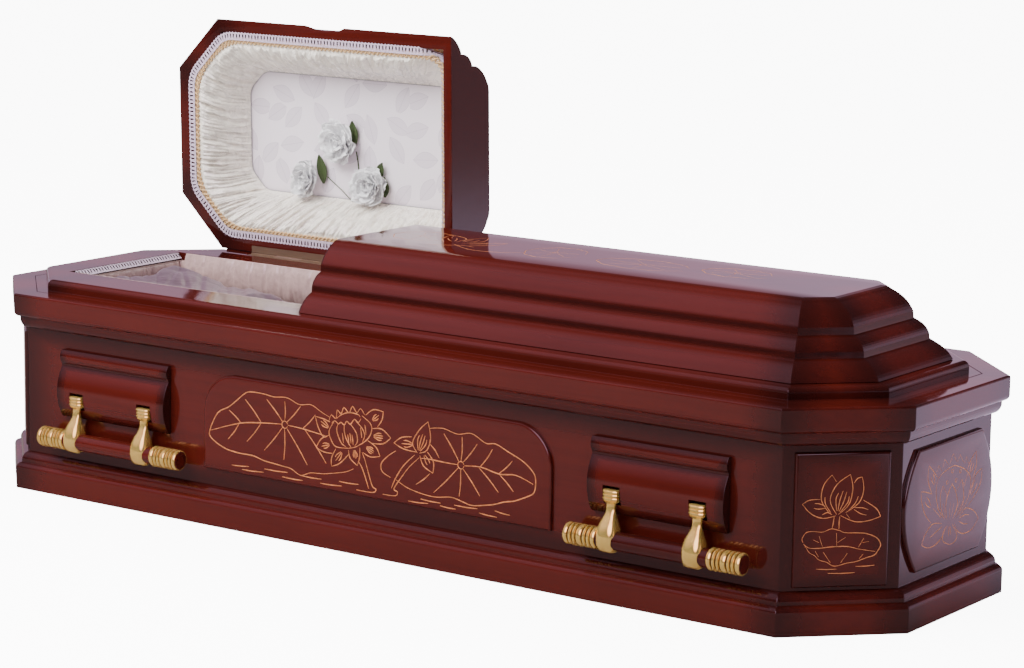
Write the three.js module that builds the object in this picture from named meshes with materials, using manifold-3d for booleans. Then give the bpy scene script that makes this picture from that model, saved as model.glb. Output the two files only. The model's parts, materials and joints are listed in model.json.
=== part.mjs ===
// A wooden casket with cut corners, two hinged lids, carved lotus panels and swing handles.
// Millimetres. +X points to the foot end, +Y to the hinge side at the back, +Z up.
// The origin is on the floor, under the middle of the box. The head lid stands open.

import * as THREE from "three";
import { mergeVertices } from "three/addons/utils/BufferGeometryUtils.js";
import Module from "manifold-3d";

const wasm = await Module();
wasm.setup();

// Whole box
const casketLength = 2100;
const casketWidth = 678;
const cornerLeg = 165;
const rimTop = 396;
const fitGap = 0.3;
const shortestEdge = 0.1;
const roundSteps = 3;

// Box walls and floor
const wallInset = 28;
const wallThickness = 24;
const floorThickness = 18;

// Base moulding
const baseHeight = 73;
const plinthHeight = 52;
const plinthRound = 11;
const baseFillet = 4;
const ovoloInset = 12;

// Rim moulding
const rimThickness = 46;
const rimStripWidth = 46;
const rimTopRound = 4;
const rimBottomRound = 11;
const rimOvoloHeight = 24;
const seamWidth = 1;

// Top boards with the raised frame that carries the lids
const frameInset = 68;
const frameHeight = 22;
const frameRound = 11;
const openingEndRail = 155;
const openingSideRail = 171;

// Lids
const lidInset = 94;
const splitX = -233;
const splitGap = 2;
const splitWall = 20;
const lidRim = 28;
const lidRoof = 20;
const roofSetback = 8;
const openAngle = 88.4;
const pullLength = 100;
const pullDepth = 9;
const pullSlope = 19;
const pullHeight = 24;
const pullShift = 38;

// The three steps of the lid, each a bulged slope over a short upright fillet
const lidSteps = [
  { inset: 40, height: 35, fillet: 11 },
  { inset: 67, height: 71, fillet: 13 },
  { inset: 106, height: 122, fillet: 0 },
];
const stepBulge = 5;
const stepSetback = 1;
const plateauRound = 2;
const plateauInset = 122;
const lidHeight = 128;

// Lid linings
const liningThickness = 8;
const boxLiningThickness = 4;

// Hinges
const hingeOffset = 3.6;
const knuckleRadius = 3;
const knuckleCount = 5;
const knuckleGap = 0.4;
const leafWidth = 14;
const leafThickness = 2;
const headHingeLength = 336;
const footHingeLength = 640;
const knuckleSides = 6;

// Carved panels
const panelThickness = 7;
const panelBevel = 4;
const longPanelGap = 88;
const longPanelBottom = 107;
const longPanelHeight = 188;
const longPanelRound = 78;
const cornerPanelMargin = 22;
const cornerPanelBottom = 80;
const cornerPanelHeight = 234;
const endPanelMargin = 0.4;
const endPanelBow = 46;
const endPanelBottom = 91;
const endPanelHeight = 216;
const grooveWidth = 1.5;
const grooveDepth = 1.2;

// Handle sets
const handleFromEnd = 416;
const blockWidth = 280;
const blockBottom = 160;
const blockHeight = 134;
const blockDepth = 25;
const blockBead = 32;
const blockBeadDepth = 15;
const blockWaist = 9;
const armSpacing = 177;
const pivotHeight = 195;
const pivotOffset = 21;
const headRadius = 11.5;
const headWidth = 31;
const neckWidth = 17;
const bellyWidth = 36;
const armFootWidth = 28;
const armNeck = 9;
const pocketClearance = 4;
const pocketRise = 21;
const barHeight = 118;
const barOffset = 29;
const barRadius = 17;
const barLength = 372;
const eyeWall = 5.5;
const ferruleLength = 66;
const ferruleRadius = 20;
const ferruleCollar = 16;
const ferruleWaist = 1.4;
const barSides = 8;

// Bedding
const mattressTop = 233;
const mattressGap = 12;
const pillowLength = 330;
const pillowWidth = 316;
const pillowTopHead = 398;
const pillowTopFoot = 345;

// Worked out from the sizes above
const halfLength = casketLength / 2;
const halfWidth = casketWidth / 2;
const insetShare = 2 - Math.SQRT2;
const rimBottom = rimTop - rimThickness;
const wallInner = wallInset + wallThickness;
const frameTop = rimTop + frameHeight;
const lidFloor = frameTop + fitGap;
const lidHalfWidth = halfWidth - lidInset;
const lidHalfLength = halfLength - lidInset;
const hingeY = lidHalfWidth + hingeOffset;
const hingeZ = frameTop + fitGap / 2;
const openingLength = casketLength - 2 * openingEndRail;
const openingWidth = casketWidth - 2 * openingSideRail;
const handleSpacing = casketLength - 2 * handleFromEnd;
const wallLeg = cornerLeg - insetShare * wallInset;
const endFaceWidth = casketWidth - 2 * (wallInset + wallLeg);
const longPanelWidth = handleSpacing - blockWidth - 2 * longPanelGap;
const cornerPanelWidth = wallLeg * Math.SQRT2 - 2 * cornerPanelMargin;
const endPanelWidth = endFaceWidth - 2 * (endPanelMargin + endPanelBow);
const endGap = fitGap / (2 * Math.cos(Math.PI / 8));
const farAway = 2 * casketLength;

// Finishes
const lacquer = { color: 0x5c201c, roughness: 0.22, metalness: 0 };
const darkLacquer = { color: 0x421816, roughness: 0.25, metalness: 0 };
const brass = { color: 0xd8a850, roughness: 0.2, metalness: 1 };
const satinBrass = { color: 0xb09a78, roughness: 0.4, metalness: 1 };
const satin = { color: 0xf0ece4, roughness: 0.55, metalness: 0 };
const beddingSatin = { color: 0xd8d2dc, roughness: 0.5, metalness: 0 };

const casket = new THREE.Group();

function addPiece(name, geometry, finish, parent = casket) {
  const mesh = new THREE.Mesh(geometry, new THREE.MeshStandardMaterial(finish));
  mesh.name = name;
  parent.add(mesh);
  return mesh;
}

// Closed geometry in, solid out. Triangles that shrink to a line on an axis are dropped.
function toSolid(geometry) {
  const bare = geometry.clone();
  bare.deleteAttribute("normal");
  bare.deleteAttribute("uv");
  const merged = mergeVertices(bare, 1e-4);
  const corners = merged.index.array;
  const points = merged.attributes.position.array;
  const kept = [];
  let volume = 0;
  const a = new THREE.Vector3();
  const b = new THREE.Vector3();
  const c = new THREE.Vector3();
  for (let i = 0; i < corners.length; i += 3) {
    const [p, q, r] = [corners[i], corners[i + 1], corners[i + 2]];
    if (p === q || q === r || r === p) continue;
    kept.push(p, q, r);
    a.fromArray(points, 3 * p);
    b.fromArray(points, 3 * q);
    c.fromArray(points, 3 * r);
    volume += a.dot(b.cross(c));
  }
  if (volume < 0) kept.reverse();
  const mesh = new wasm.Mesh({
    numProp: 3,
    vertProperties: Float32Array.from(points),
    triVerts: Uint32Array.from(kept),
  });
  return new wasm.Manifold(mesh);
}

function toGeometry(solid) {
  const { vertProperties, triVerts } = solid.simplify(shortestEdge).getMesh();
  const geometry = new THREE.BufferGeometry();
  geometry.setAttribute("position", new THREE.BufferAttribute(vertProperties, 3));
  geometry.setIndex(new THREE.BufferAttribute(triVerts, 1));
  const flat = geometry.toNonIndexed();
  flat.computeVertexNormals();
  return flat;
}

function boxSolid(low, high) {
  const size = high.map((value, axis) => value - low[axis]);
  const geometry = new THREE.BoxGeometry(...size);
  geometry.translate(...high.map((value, axis) => (value + low[axis]) / 2));
  return toSolid(geometry);
}

// Corner of the eight-sided plan, pushed in by inset. Corner 0 is at the front near the
// foot end, and the count goes round to the foot, the back and the head.
function planCorner(index, inset) {
  const x = halfLength - inset;
  const y = halfWidth - inset;
  const leg = cornerLeg - insetShare * inset;
  const corners = [
    [x - leg, -y],
    [x, leg - y],
    [x, y - leg],
    [x - leg, y],
    [leg - x, y],
    [-x, y - leg],
    [-x, leg - y],
    [leg - x, -y],
  ];
  return new THREE.Vector2(...corners[((index % 8) + 8) % 8]);
}

// A moulding or board that follows the plan from one corner over some sides, mitred at
// its ends. The section's x is the inset and its y the height.
function frameRun(section, firstCorner, sideCount) {
  const geometry = new THREE.ExtrudeGeometry(section, {
    depth: sideCount,
    steps: sideCount,
    bevelEnabled: false,
    curveSegments: roundSteps,
  });
  const position = geometry.attributes.position;
  for (let i = 0; i < position.count; i += 1) {
    const inset = position.getX(i);
    const station = Math.round(position.getZ(i));
    const point = planCorner(firstCorner + station, inset);
    if (station === 0) {
      const next = planCorner(firstCorner + 1, inset);
      point.add(next.sub(point).setLength(endGap));
    }
    if (station === sideCount) {
      const previous = planCorner(firstCorner + station - 1, inset);
      point.add(previous.sub(point).setLength(endGap));
    }
    position.setXYZ(i, point.x, point.y, position.getY(i));
  }
  return geometry;
}

// A solid over the whole plan. The profile runs from the middle of its underside, out to
// the edge and back to the middle of its top, as [inset, height], null at the middle.
function planSolid(profile) {
  const reach = halfWidth;
  const points = profile.map(([inset, height]) =>
    new THREE.Vector2(inset === null ? 0 : reach - inset, height));
  const geometry = new THREE.LatheGeometry(points, 8);
  const position = geometry.attributes.position;
  for (let i = 0; i < position.count; i += 1) {
    const corner = Math.floor(i / points.length);
    const [inset, height] = profile[i % points.length];
    const point = inset === null ? new THREE.Vector2() : planCorner(corner, inset);
    position.setXYZ(i, point.x, point.y, height);
  }
  return toSolid(geometry);
}

// Points on an arc that bulges out of the straight line between two [inset, height] points
function bulgedSlope(from, to, bulge, steps) {
  const start = new THREE.Vector2(...from);
  const end = new THREE.Vector2(...to);
  const along = end.clone().sub(start);
  const out = new THREE.Vector2(-along.y, along.x).normalize();
  const points = [];
  for (let i = 0; i <= steps; i += 1) {
    const share = i / steps;
    const rise = 4 * bulge * share * (1 - share);
    const point = start.clone().addScaledVector(along, share).addScaledVector(out, rise);
    points.push([point.x, point.y]);
  }
  return points;
}

// Box: floor, walls, base and rim

function buildFloor() {
  const inset = wallInner + fitGap;
  const solid = planSolid([[null, 0], [inset, 0], [inset, floorThickness], [null, floorThickness]]);
  addPiece("floor_board", toGeometry(solid), darkLacquer);
}

function wallSection() {
  const section = new THREE.Shape();
  section.moveTo(wallInset, 0);
  section.lineTo(wallInset, rimBottom - fitGap);
  section.lineTo(wallInner, rimBottom - fitGap);
  section.lineTo(wallInner, 0);
  return section;
}

function buildWalls() {
  const names = [
    "corner_wall_front_foot",
    "foot_wall",
    "corner_wall_back_foot",
    "back_wall",
    "corner_wall_back_head",
    "head_wall",
    "corner_wall_front_head",
    "front_wall",
  ];
  names.forEach((name, side) => addPiece(name, frameRun(wallSection(), side, 1), lacquer));
}

function baseSection() {
  const inner = wallInset - fitGap;
  const ovoloFoot = plinthHeight + baseFillet;
  const section = new THREE.Shape();
  section.moveTo(0, 0);
  section.lineTo(0, plinthHeight - plinthRound);
  section.absarc(plinthRound, plinthHeight - plinthRound, plinthRound, Math.PI, Math.PI / 2, true);
  section.lineTo(ovoloInset, plinthHeight);
  section.lineTo(ovoloInset, ovoloFoot);
  section.absellipse(
    inner, ovoloFoot, inner - ovoloInset, baseHeight - ovoloFoot, Math.PI, Math.PI / 2, true, 0);
  section.lineTo(inner, 0);
  return section;
}

function rimSection() {
  const wallFace = wallInset - fitGap;
  const ovoloTop = rimBottom - baseFillet;
  const ovoloBottom = rimBottom - rimOvoloHeight;
  const section = new THREE.Shape();
  section.moveTo(rimStripWidth, rimTop);
  section.lineTo(rimStripWidth, rimBottom);
  section.lineTo(wallFace, rimBottom);
  section.lineTo(wallFace, ovoloBottom);
  section.absellipse(
    wallFace, ovoloTop, wallFace - ovoloInset, ovoloTop - ovoloBottom,
    -Math.PI / 2, -Math.PI, true, 0);
  section.lineTo(ovoloInset, rimBottom);
  section.absarc(
    rimBottomRound, rimBottom + rimBottomRound, rimBottomRound, -Math.PI / 2, -Math.PI, true);
  section.absarc(rimTopRound, rimTop - rimTopRound, rimTopRound, Math.PI, Math.PI / 2, true);
  return section;
}

// Front and back lengths are single pieces, and each end is one piece round three sides
function buildMoulding(prefix, section) {
  addPiece(`${prefix}_foot`, frameRun(section, 0, 3), lacquer);
  addPiece(`${prefix}_back`, frameRun(section, 3, 1), lacquer);
  addPiece(`${prefix}_head`, frameRun(section, 4, 3), lacquer);
  addPiece(`${prefix}_front`, frameRun(section, 7, 1), lacquer);
}

// Slot for a hinge in the top of the back board: the leaf's bed and the knuckle's groove
function hingeSlot(centreX, length) {
  const half = length / 2 + fitGap;
  const leafBed = boxSolid(
    [centreX - half, lidHalfWidth - leafWidth - fitGap, frameTop - leafThickness - fitGap],
    [centreX + half, hingeY, frameTop + leafThickness]);
  const knuckleBed = boxSolid(
    [centreX - half, lidHalfWidth, hingeZ - knuckleRadius - fitGap],
    [centreX + half, hingeY + knuckleRadius + fitGap, frameTop + leafThickness]);
  return leafBed.add(knuckleBed);
}

const headHingeX = (splitX - lidHalfLength) / 2;
const footHingeX = (splitX + lidHalfLength) / 2;

function buildTopBoards() {
  const edge = rimStripWidth + seamWidth;
  const profile = [[null, rimBottom], [edge, rimBottom], [edge, rimTop], [frameInset, rimTop]];
  for (let i = 0; i <= roundSteps; i += 1) {
    const turn = (i / roundSteps) * (Math.PI / 2);
    profile.push([
      frameInset + frameRound * (1 - Math.cos(turn)),
      frameTop - frameRound * (1 - Math.sin(turn)),
    ]);
  }
  profile.push([null, frameTop]);
  const endX = openingLength / 2;
  const sideY = openingWidth / 2;
  const opening = boxSolid([-endX, -sideY, 0], [endX, sideY, farAway]);
  const boards = planSolid(profile)
    .subtract(opening)
    .subtract(hingeSlot(headHingeX, headHingeLength))
    .subtract(hingeSlot(footHingeX, footHingeLength));
  const sideX = endX - fitGap;
  const cuts = {
    top_board_front: [[-sideX, -farAway], [sideX, 0]],
    top_board_back: [[-sideX, 0], [sideX, farAway]],
    top_board_head: [[-farAway, -farAway], [-endX, farAway]],
    top_board_foot: [[endX, -farAway], [farAway, farAway]],
  };
  for (const [name, [low, high]] of Object.entries(cuts)) {
    const block = boxSolid([...low, 0], [...high, farAway]);
    addPiece(name, toGeometry(boards.intersect(block)), lacquer);
  }
}

// Lids, built shut over the frame

function lidOutline() {
  let from = [0, 0];
  const outline = [];
  for (const step of lidSteps) {
    outline.push(...bulgedSlope(from, [step.inset, step.height], stepBulge, 3));
    from = [step.inset + stepSetback, step.height + step.fillet];
  }
  outline.push([(from[0] + plateauInset) / 2, lidHeight - plateauRound]);
  outline.push([plateauInset, lidHeight]);
  return outline.map(([inset, height]) => [lidInset + inset, lidFloor + height]);
}

// A solid under a slope from the lid's rim up to its roof, shrunk by a margin
function lidHollow(margin, roofGap) {
  const roof = lidFloor + lidHeight - lidRoof - roofGap;
  const low = lidInset + lidRim + margin;
  const high = lidInset + plateauInset - roofSetback + margin;
  const below = lidFloor - lidHeight;
  return planSolid([[null, below], [low, below], [low, lidFloor], [high, roof], [null, roof]]);
}

// The stretch of the box's length that one lid covers, less a wall at its cut end
function lidStretch(side, margin) {
  const cut = splitX + side * (splitGap / 2 + margin);
  const low = side > 0 ? cut : -farAway;
  const high = side > 0 ? farAway : cut;
  return boxSolid([low, -farAway, -farAway], [high, farAway, farAway]);
}

function leafBedInLid(centreX, length) {
  const half = length / 2 + fitGap;
  return boxSolid(
    [centreX - half, lidHalfWidth - leafWidth - fitGap, lidFloor - 1],
    [centreX + half, lidHalfWidth + 1, lidFloor + leafThickness + fitGap]);
}

// The finger pull is a scoop in the lower front edge, with sloping ends
function fingerPull(centreX) {
  const half = pullLength / 2;
  const front = -lidHalfWidth;
  const plan = new THREE.Shape();
  plan.moveTo(centreX - half - pullSlope, front - pullDepth);
  plan.lineTo(centreX + half + pullSlope, front - pullDepth);
  plan.lineTo(centreX + half - pullSlope, front + pullDepth);
  plan.lineTo(centreX - half + pullSlope, front + pullDepth);
  const geometry = new THREE.ExtrudeGeometry(plan, { depth: pullHeight, bevelEnabled: false });
  geometry.translate(0, 0, lidFloor - pullHeight / 2);
  return toSolid(geometry);
}

function lidShell(side, hingeX, hingeLength) {
  const outside = planSolid([[null, lidFloor], ...lidOutline(), [null, lidFloor + lidHeight]]);
  const hollow = lidHollow(0, 0).intersect(lidStretch(side, splitWall));
  return outside
    .intersect(lidStretch(side, 0))
    .subtract(hollow)
    .subtract(leafBedInLid(hingeX, hingeLength));
}

function lidLining(side) {
  const outer = lidHollow(fitGap, fitGap).intersect(lidStretch(side, splitWall + fitGap));
  const inner = lidHollow(fitGap + liningThickness, fitGap + liningThickness)
    .intersect(lidStretch(side, splitWall + fitGap + liningThickness));
  const above = boxSolid([-farAway, -farAway, lidFloor], [farAway, farAway, farAway]);
  return outer.subtract(inner).intersect(above);
}

// A hinge leaf with every second knuckle. The lower leaf lies in the frame, the upper one
// in the lid, and both knuckle rows turn on the hinge line.
function hingeLeaf(centreX, length, upper) {
  const pitch = length / knuckleCount;
  const low = upper ? lidFloor : frameTop - leafThickness;
  let leaf = boxSolid(
    [centreX - length / 2, lidHalfWidth - leafWidth, low],
    [centreX + length / 2, lidHalfWidth, low + leafThickness]);
  for (let i = upper ? 1 : 0; i < knuckleCount; i += 2) {
    const start = centreX - length / 2 + i * pitch + knuckleGap / 2;
    const end = start + pitch - knuckleGap;
    const tab = boxSolid([start, lidHalfWidth - 1, low], [end, hingeY, low + leafThickness]);
    const barrel = new THREE.CylinderGeometry(
      knuckleRadius, knuckleRadius, end - start, knuckleSides);
    barrel.rotateZ(Math.PI / 2);
    barrel.translate((start + end) / 2, hingeY, hingeZ);
    leaf = leaf.add(tab).add(toSolid(barrel));
  }
  return leaf;
}

// The head lid hangs in a group that turns about the hinge line
function swungBack(degrees) {
  const pivot = new THREE.Group();
  pivot.position.set(0, hingeY, hingeZ);
  pivot.rotation.x = -THREE.MathUtils.degToRad(degrees);
  const inside = new THREE.Group();
  inside.position.set(0, -hingeY, -hingeZ);
  pivot.add(inside);
  casket.add(pivot);
  return inside;
}

function buildLids() {
  const open = swungBack(openAngle);
  const headLid = lidShell(-1, headHingeX, headHingeLength).subtract(fingerPull(headHingeX + pullShift));
  addPiece("head_lid", toGeometry(headLid), lacquer, open);
  addPiece("head_lid_lining", toGeometry(lidLining(-1)), satin, open);
  addPiece("head_hinge_lid_leaf", toGeometry(hingeLeaf(headHingeX, headHingeLength, true)),
    satinBrass, open);
  addPiece("head_hinge_box_leaf", toGeometry(hingeLeaf(headHingeX, headHingeLength, false)),
    satinBrass);
  const top = lidFloor + lidHeight;
  const spray = grooves(lidSprayStrokes()).translate([splitX, 0, top]);
  const footLid = lidShell(1, footHingeX, footHingeLength).subtract(spray);
  addPiece("foot_lid", toGeometry(footLid), lacquer);
  addPiece("foot_lid_lining", toGeometry(lidLining(1)), satin);
  addPiece("foot_hinge_lid_leaf", toGeometry(hingeLeaf(footHingeX, footHingeLength, true)),
    satinBrass);
  addPiece("foot_hinge_box_leaf", toGeometry(hingeLeaf(footHingeX, footHingeLength, false)),
    satinBrass);
}

// Engraving: each stroke is a list of [u, v] points in the plane of its panel. The groove
// is a V in section, drawn out straight and then laid along the stroke.

function grooveSolid(points) {
  const path = points.map(([u, v]) => new THREE.Vector2(u, v));
  const section = new THREE.Shape();
  section.moveTo(-grooveWidth, grooveDepth);
  section.lineTo(grooveWidth, grooveDepth);
  section.lineTo(0, -grooveDepth);
  const depth = path.length - 1;
  const geometry = new THREE.ExtrudeGeometry(section, { depth, steps: depth, bevelEnabled: false });
  const position = geometry.attributes.position;
  for (let i = 0; i < position.count; i += 1) {
    const station = Math.round(position.getZ(i));
    const before = path[Math.max(station - 1, 0)];
    const after = path[Math.min(station + 1, depth)];
    const along = after.clone().sub(before).normalize();
    const aside = new THREE.Vector2(along.y, -along.x).multiplyScalar(position.getX(i));
    const point = path[station].clone().add(aside);
    position.setXYZ(i, point.x, point.y, position.getY(i));
  }
  return toSolid(geometry);
}

function grooves(strokes) {
  return wasm.Manifold.union(strokes.map(grooveSolid));
}

// One petal of a fan. Turn 0 points up. An upright petal is drawn whole, and one that
// leans is drawn whole on its outer side and only near its tip on the side that the
// petal next to it covers.
const petalSides = [[0.2, 0.3], [0.55, 0.47], [1, 0]];
const coveredShare = 0.5;
const fanTilt = 0.05;

function petal(u, v, length, width, turn, lean) {
  const outer = petalSides.map(([share, spread]) => [share, spread]);
  const inner = petalSides.slice(0, -1).reverse().map(([share, spread]) => [share, -spread]);
  const seen = lean === 0 ? inner : inner.filter(([share]) => share >= coveredShare);
  const side = lean === 0 ? 1 : lean;
  const [sine, cosine] = [Math.sin(turn), Math.cos(turn)];
  return [...outer, ...seen].map(([share, spread]) => {
    const [along, aside] = [share * length, side * spread * width];
    return [u + along * sine + aside * cosine, v + along * cosine - aside * sine];
  });
}

// An open flower: a fan of petals about one point, each shorter towards the sides, and
// the whole fan tilted a little
function lotusFlower(u, v, height, petals, fan) {
  const strokes = [];
  for (let i = 0; i < petals; i += 1) {
    const share = (2 * i) / (petals - 1) - 1;
    const length = height * (1 - 0.25 * Math.abs(share));
    const turn = share * fan + fanTilt;
    strokes.push(petal(u, v, length, height * 0.42, turn, Math.sign(share)));
  }
  return strokes;
}

// A leaf seen from above: a rippled oval round a hub, with veins out towards its edge. It
// is left open over the turns that a flower before it covers: the middle of that part and
// how far it goes to either side.
function lotusLeaf({ middle, half, hub, points, ripples, veins, covered, spread }) {
  const edge = (turn) => {
    const ripple = 1 + 0.035 * Math.cos(ripples * turn);
    return [
      middle[0] + half[0] * ripple * Math.cos(turn),
      middle[1] + half[1] * ripple * Math.sin(turn),
    ];
  };
  const first = covered + spread;
  const sweep = 2 * (Math.PI - spread);
  const outline = [];
  for (let i = 0; i <= points; i += 1) {
    outline.push(edge(first + (sweep * i) / points));
  }
  const strokes = [outline];
  for (let i = 0; i < veins; i += 1) {
    const end = edge(first + (sweep * (i + 0.5)) / veins);
    const at = (share) => hub.map((value, axis) => value + share * (end[axis] - value));
    strokes.push([at(0.12), at(0.84)]);
  }
  return strokes;
}

function waterLines(u, v, width, rows) {
  const strokes = [];
  for (let row = 0; row < rows; row += 1) {
    const half = (width / 2) * (1 - 0.35 * row);
    const height = v - 9 * row;
    strokes.push([[u - half, height], [u + half, height]]);
  }
  return strokes;
}

function curvedStem(from, bend, to) {
  const curve = new THREE.QuadraticBezierCurve(
    new THREE.Vector2(...from), new THREE.Vector2(...bend), new THREE.Vector2(...to));
  return curve.getPoints(2).map((point) => [point.x, point.y]);
}

// The drawings below are in millimetres on a field of the size given with each, and they
// stretch with the panel that they are cut into.
const longField = [812, 188];
const cornerField = [166, 234];
const endField = [232, 216];
const lidField = [1189, 246];

function stretched(strokes, field, width, height) {
  return strokes.map((points) =>
    points.map(([u, v]) => [(u * width) / field[0], (v * height) / field[1]]));
}

// Panels stand upright: u runs along the panel from its middle, v up from its foot
function longPanelStrokes(leafPoints, veins, petals) {
  const leftLeaf = {
    middle: [-215, 92], half: [172, 76], hub: [-208, 108],
    points: leafPoints, ripples: 7, veins, covered: -0.05, spread: 0.62,
  };
  const rightLeaf = {
    middle: [198, 88], half: [164, 72], hub: [204, 92],
    points: leafPoints, ripples: 7, veins, covered: Math.PI, spread: 0.9,
  };
  const strokes = [
    ...lotusLeaf(leftLeaf),
    ...lotusFlower(-42, 66, 98, petals, 1.2),
    curvedStem([-36, 58], [-18, 34], [0, 6]),
    ...lotusLeaf(rightLeaf),
    ...lotusFlower(92, 70, 86, 3, 0.45),
    curvedStem([90, 64], [58, 52], [44, 20]),
    ...waterLines(-150, 9, 150, 1),
    ...waterLines(210, 8, 170, 1),
  ];
  return stretched(strokes, longField, longPanelWidth, longPanelHeight);
}

function cornerPanelStrokes() {
  const leaf = {
    middle: [2, 72], half: [66, 28], hub: [4, 82],
    points: 10, ripples: 5, veins: 0, covered: Math.PI / 2, spread: 0.2,
  };
  const strokes = [
    ...lotusFlower(0, 130, 68, 5, 1.35),
    curvedStem([0, 124], [-6, 114], [-1, 104]),
    ...lotusLeaf(leaf),
    ...waterLines(0, 34, 70, 1),
  ];
  return stretched(strokes, cornerField, cornerPanelWidth, cornerPanelHeight);
}

function endPanelStrokes() {
  const strokes = lotusFlower(0, 34, 158, 5, 1);
  return stretched(strokes, endField, endPanelWidth, endPanelHeight);
}

// The spray on the foot lid: u runs along the lid from its cut end and v across it
function lidSprayStrokes() {
  const leaf = {
    half: [90, 44], points: 9, ripples: 5, veins: 2, covered: Math.PI, spread: 0.3,
  };
  const strokes = [
    ...lotusFlower(293, -30, 84, 5, 1.2),
    curvedStem([293, -36], [383, -60], [463, -30]),
    ...lotusLeaf({ ...leaf, middle: [553, 10], hub: [553, 20] }),
    ...lotusLeaf({ ...leaf, middle: [763, -12], hub: [763, -12] }),
  ];
  const length = lidHalfLength - splitX;
  const width = 2 * (lidHalfWidth - plateauInset);
  return stretched(strokes, lidField, length, width);
}

function extrudePanel(outline, strokes) {
  const blank = new THREE.ExtrudeGeometry(outline, {
    depth: panelThickness - panelBevel,
    bevelEnabled: true,
    bevelThickness: panelBevel,
    bevelSize: panelBevel,
    bevelOffset: -panelBevel,
    bevelSegments: 1,
    curveSegments: 6,
  });
  const solid = toSolid(blank);
  const front = boxSolid([-farAway, -farAway, 0], [farAway, farAway, farAway]);
  const cut = grooves(strokes).translate([0, 0, panelThickness]);
  return toGeometry(solid.intersect(front).subtract(cut));
}

// Stands a panel upright on the middle of one side of the walls
function placePanel(name, geometry, side, bottom) {
  const from = planCorner(side, wallInset - fitGap);
  const to = planCorner(side + 1, wallInset - fitGap);
  const mesh = addPiece(name, geometry, lacquer);
  const middle = from.clone().add(to).multiplyScalar(0.5);
  mesh.position.set(middle.x, middle.y, bottom);
  mesh.rotation.order = "ZYX";
  mesh.rotation.set(Math.PI / 2, 0, to.clone().sub(from).angle());
}

function longPanelOutline() {
  const half = longPanelWidth / 2;
  const shoulder = longPanelHeight - longPanelRound;
  const outline = new THREE.Shape();
  outline.moveTo(-half, 0);
  outline.lineTo(half, 0);
  outline.absarc(half - longPanelRound, shoulder, longPanelRound, 0, Math.PI / 2, false);
  outline.absarc(longPanelRound - half, shoulder, longPanelRound, Math.PI / 2, Math.PI, false);
  return outline;
}

function endPanelOutline() {
  const half = endPanelWidth / 2;
  const bow = half + 2 * endPanelBow;
  const outline = new THREE.Shape();
  outline.moveTo(-half, 0);
  outline.lineTo(half, 0);
  outline.quadraticCurveTo(bow, endPanelHeight / 2, half, endPanelHeight);
  outline.lineTo(-half, endPanelHeight);
  outline.quadraticCurveTo(-bow, endPanelHeight / 2, -half, 0);
  return outline;
}

function cornerPanelOutline() {
  const half = cornerPanelWidth / 2;
  const outline = new THREE.Shape();
  outline.moveTo(-half, 0);
  outline.lineTo(half, 0);
  outline.lineTo(half, cornerPanelHeight);
  outline.lineTo(-half, cornerPanelHeight);
  return outline;
}

function buildPanels() {
  const frontPanel = extrudePanel(longPanelOutline(), longPanelStrokes(16, 6, 7));
  placePanel("carved_panel_front", frontPanel, 7, longPanelBottom);
  const backPanel = extrudePanel(longPanelOutline(), longPanelStrokes(10, 0, 5));
  placePanel("carved_panel_back", backPanel, 3, longPanelBottom);
  const endPanel = extrudePanel(endPanelOutline(), endPanelStrokes());
  placePanel("carved_panel_foot", endPanel, 1, endPanelBottom);
  placePanel("carved_panel_head", endPanel, 5, endPanelBottom);
  const cornerPanel = extrudePanel(cornerPanelOutline(), cornerPanelStrokes());
  placePanel("carved_panel_front_foot", cornerPanel, 0, cornerPanelBottom);
  placePanel("carved_panel_back_foot", cornerPanel, 2, cornerPanelBottom);
  placePanel("carved_panel_back_head", cornerPanel, 4, cornerPanelBottom);
  placePanel("carved_panel_front_head", cornerPanel, 6, cornerPanelBottom);
}

// Handle sets. They are drawn in their own frame: x across, y out from the wall and z up.

// A side view of offset and height, drawn out across the casket to a width
function drawnAcross(sideView, width) {
  const geometry = new THREE.ExtrudeGeometry(sideView, {
    depth: width,
    bevelEnabled: false,
    curveSegments: roundSteps,
  });
  geometry.translate(0, 0, -width / 2);
  geometry.rotateX(Math.PI / 2);
  geometry.rotateZ(Math.PI / 2);
  return geometry;
}

function blockSection() {
  const top = blockBottom + blockHeight;
  const waist = top - blockBead;
  const section = new THREE.Shape();
  section.moveTo(fitGap, blockBottom);
  section.lineTo(blockWaist, blockBottom);
  section.quadraticCurveTo(
    2 * blockDepth - blockWaist, (blockBottom + waist) / 2, blockWaist, waist);
  section.quadraticCurveTo(
    2 * blockBeadDepth - blockWaist, waist + 0.6 * blockBead, blockWaist, top);
  section.lineTo(fitGap, top);
  return section;
}

function handleBlock() {
  let block = toSolid(drawnAcross(blockSection(), blockWidth));
  const back = pivotOffset - headRadius - pocketClearance;
  const half = headWidth / 2 + pocketClearance;
  for (const side of [-1, 1]) {
    const centre = (side * armSpacing) / 2;
    const pocket = boxSolid(
      [centre - half, back, pivotHeight - headRadius - pocketClearance],
      [centre + half, farAway, pivotHeight + pocketRise]);
    block = block.subtract(pocket);
  }
  return block;
}

// Width of an arm by height: square head, slim neck, round belly, narrower foot
function armWidthAt(height) {
  const stops = [
    [barHeight - barRadius - eyeWall, armFootWidth],
    [barHeight + 4, bellyWidth],
    [pivotHeight - 2.2 * headRadius, neckWidth],
    [pivotHeight - 1.05 * headRadius, neckWidth],
    [pivotHeight - 0.9 * headRadius, headWidth],
    [pivotHeight + headRadius, headWidth],
  ];
  if (height <= stops[0][0]) return stops[0][1];
  for (let i = 1; i < stops.length; i += 1) {
    const [low, lowWidth] = stops[i - 1];
    const [high, highWidth] = stops[i];
    if (height <= high) {
      return lowWidth + ((highWidth - lowWidth) * (height - low)) / (high - low);
    }
  }
  return headWidth;
}

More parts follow.
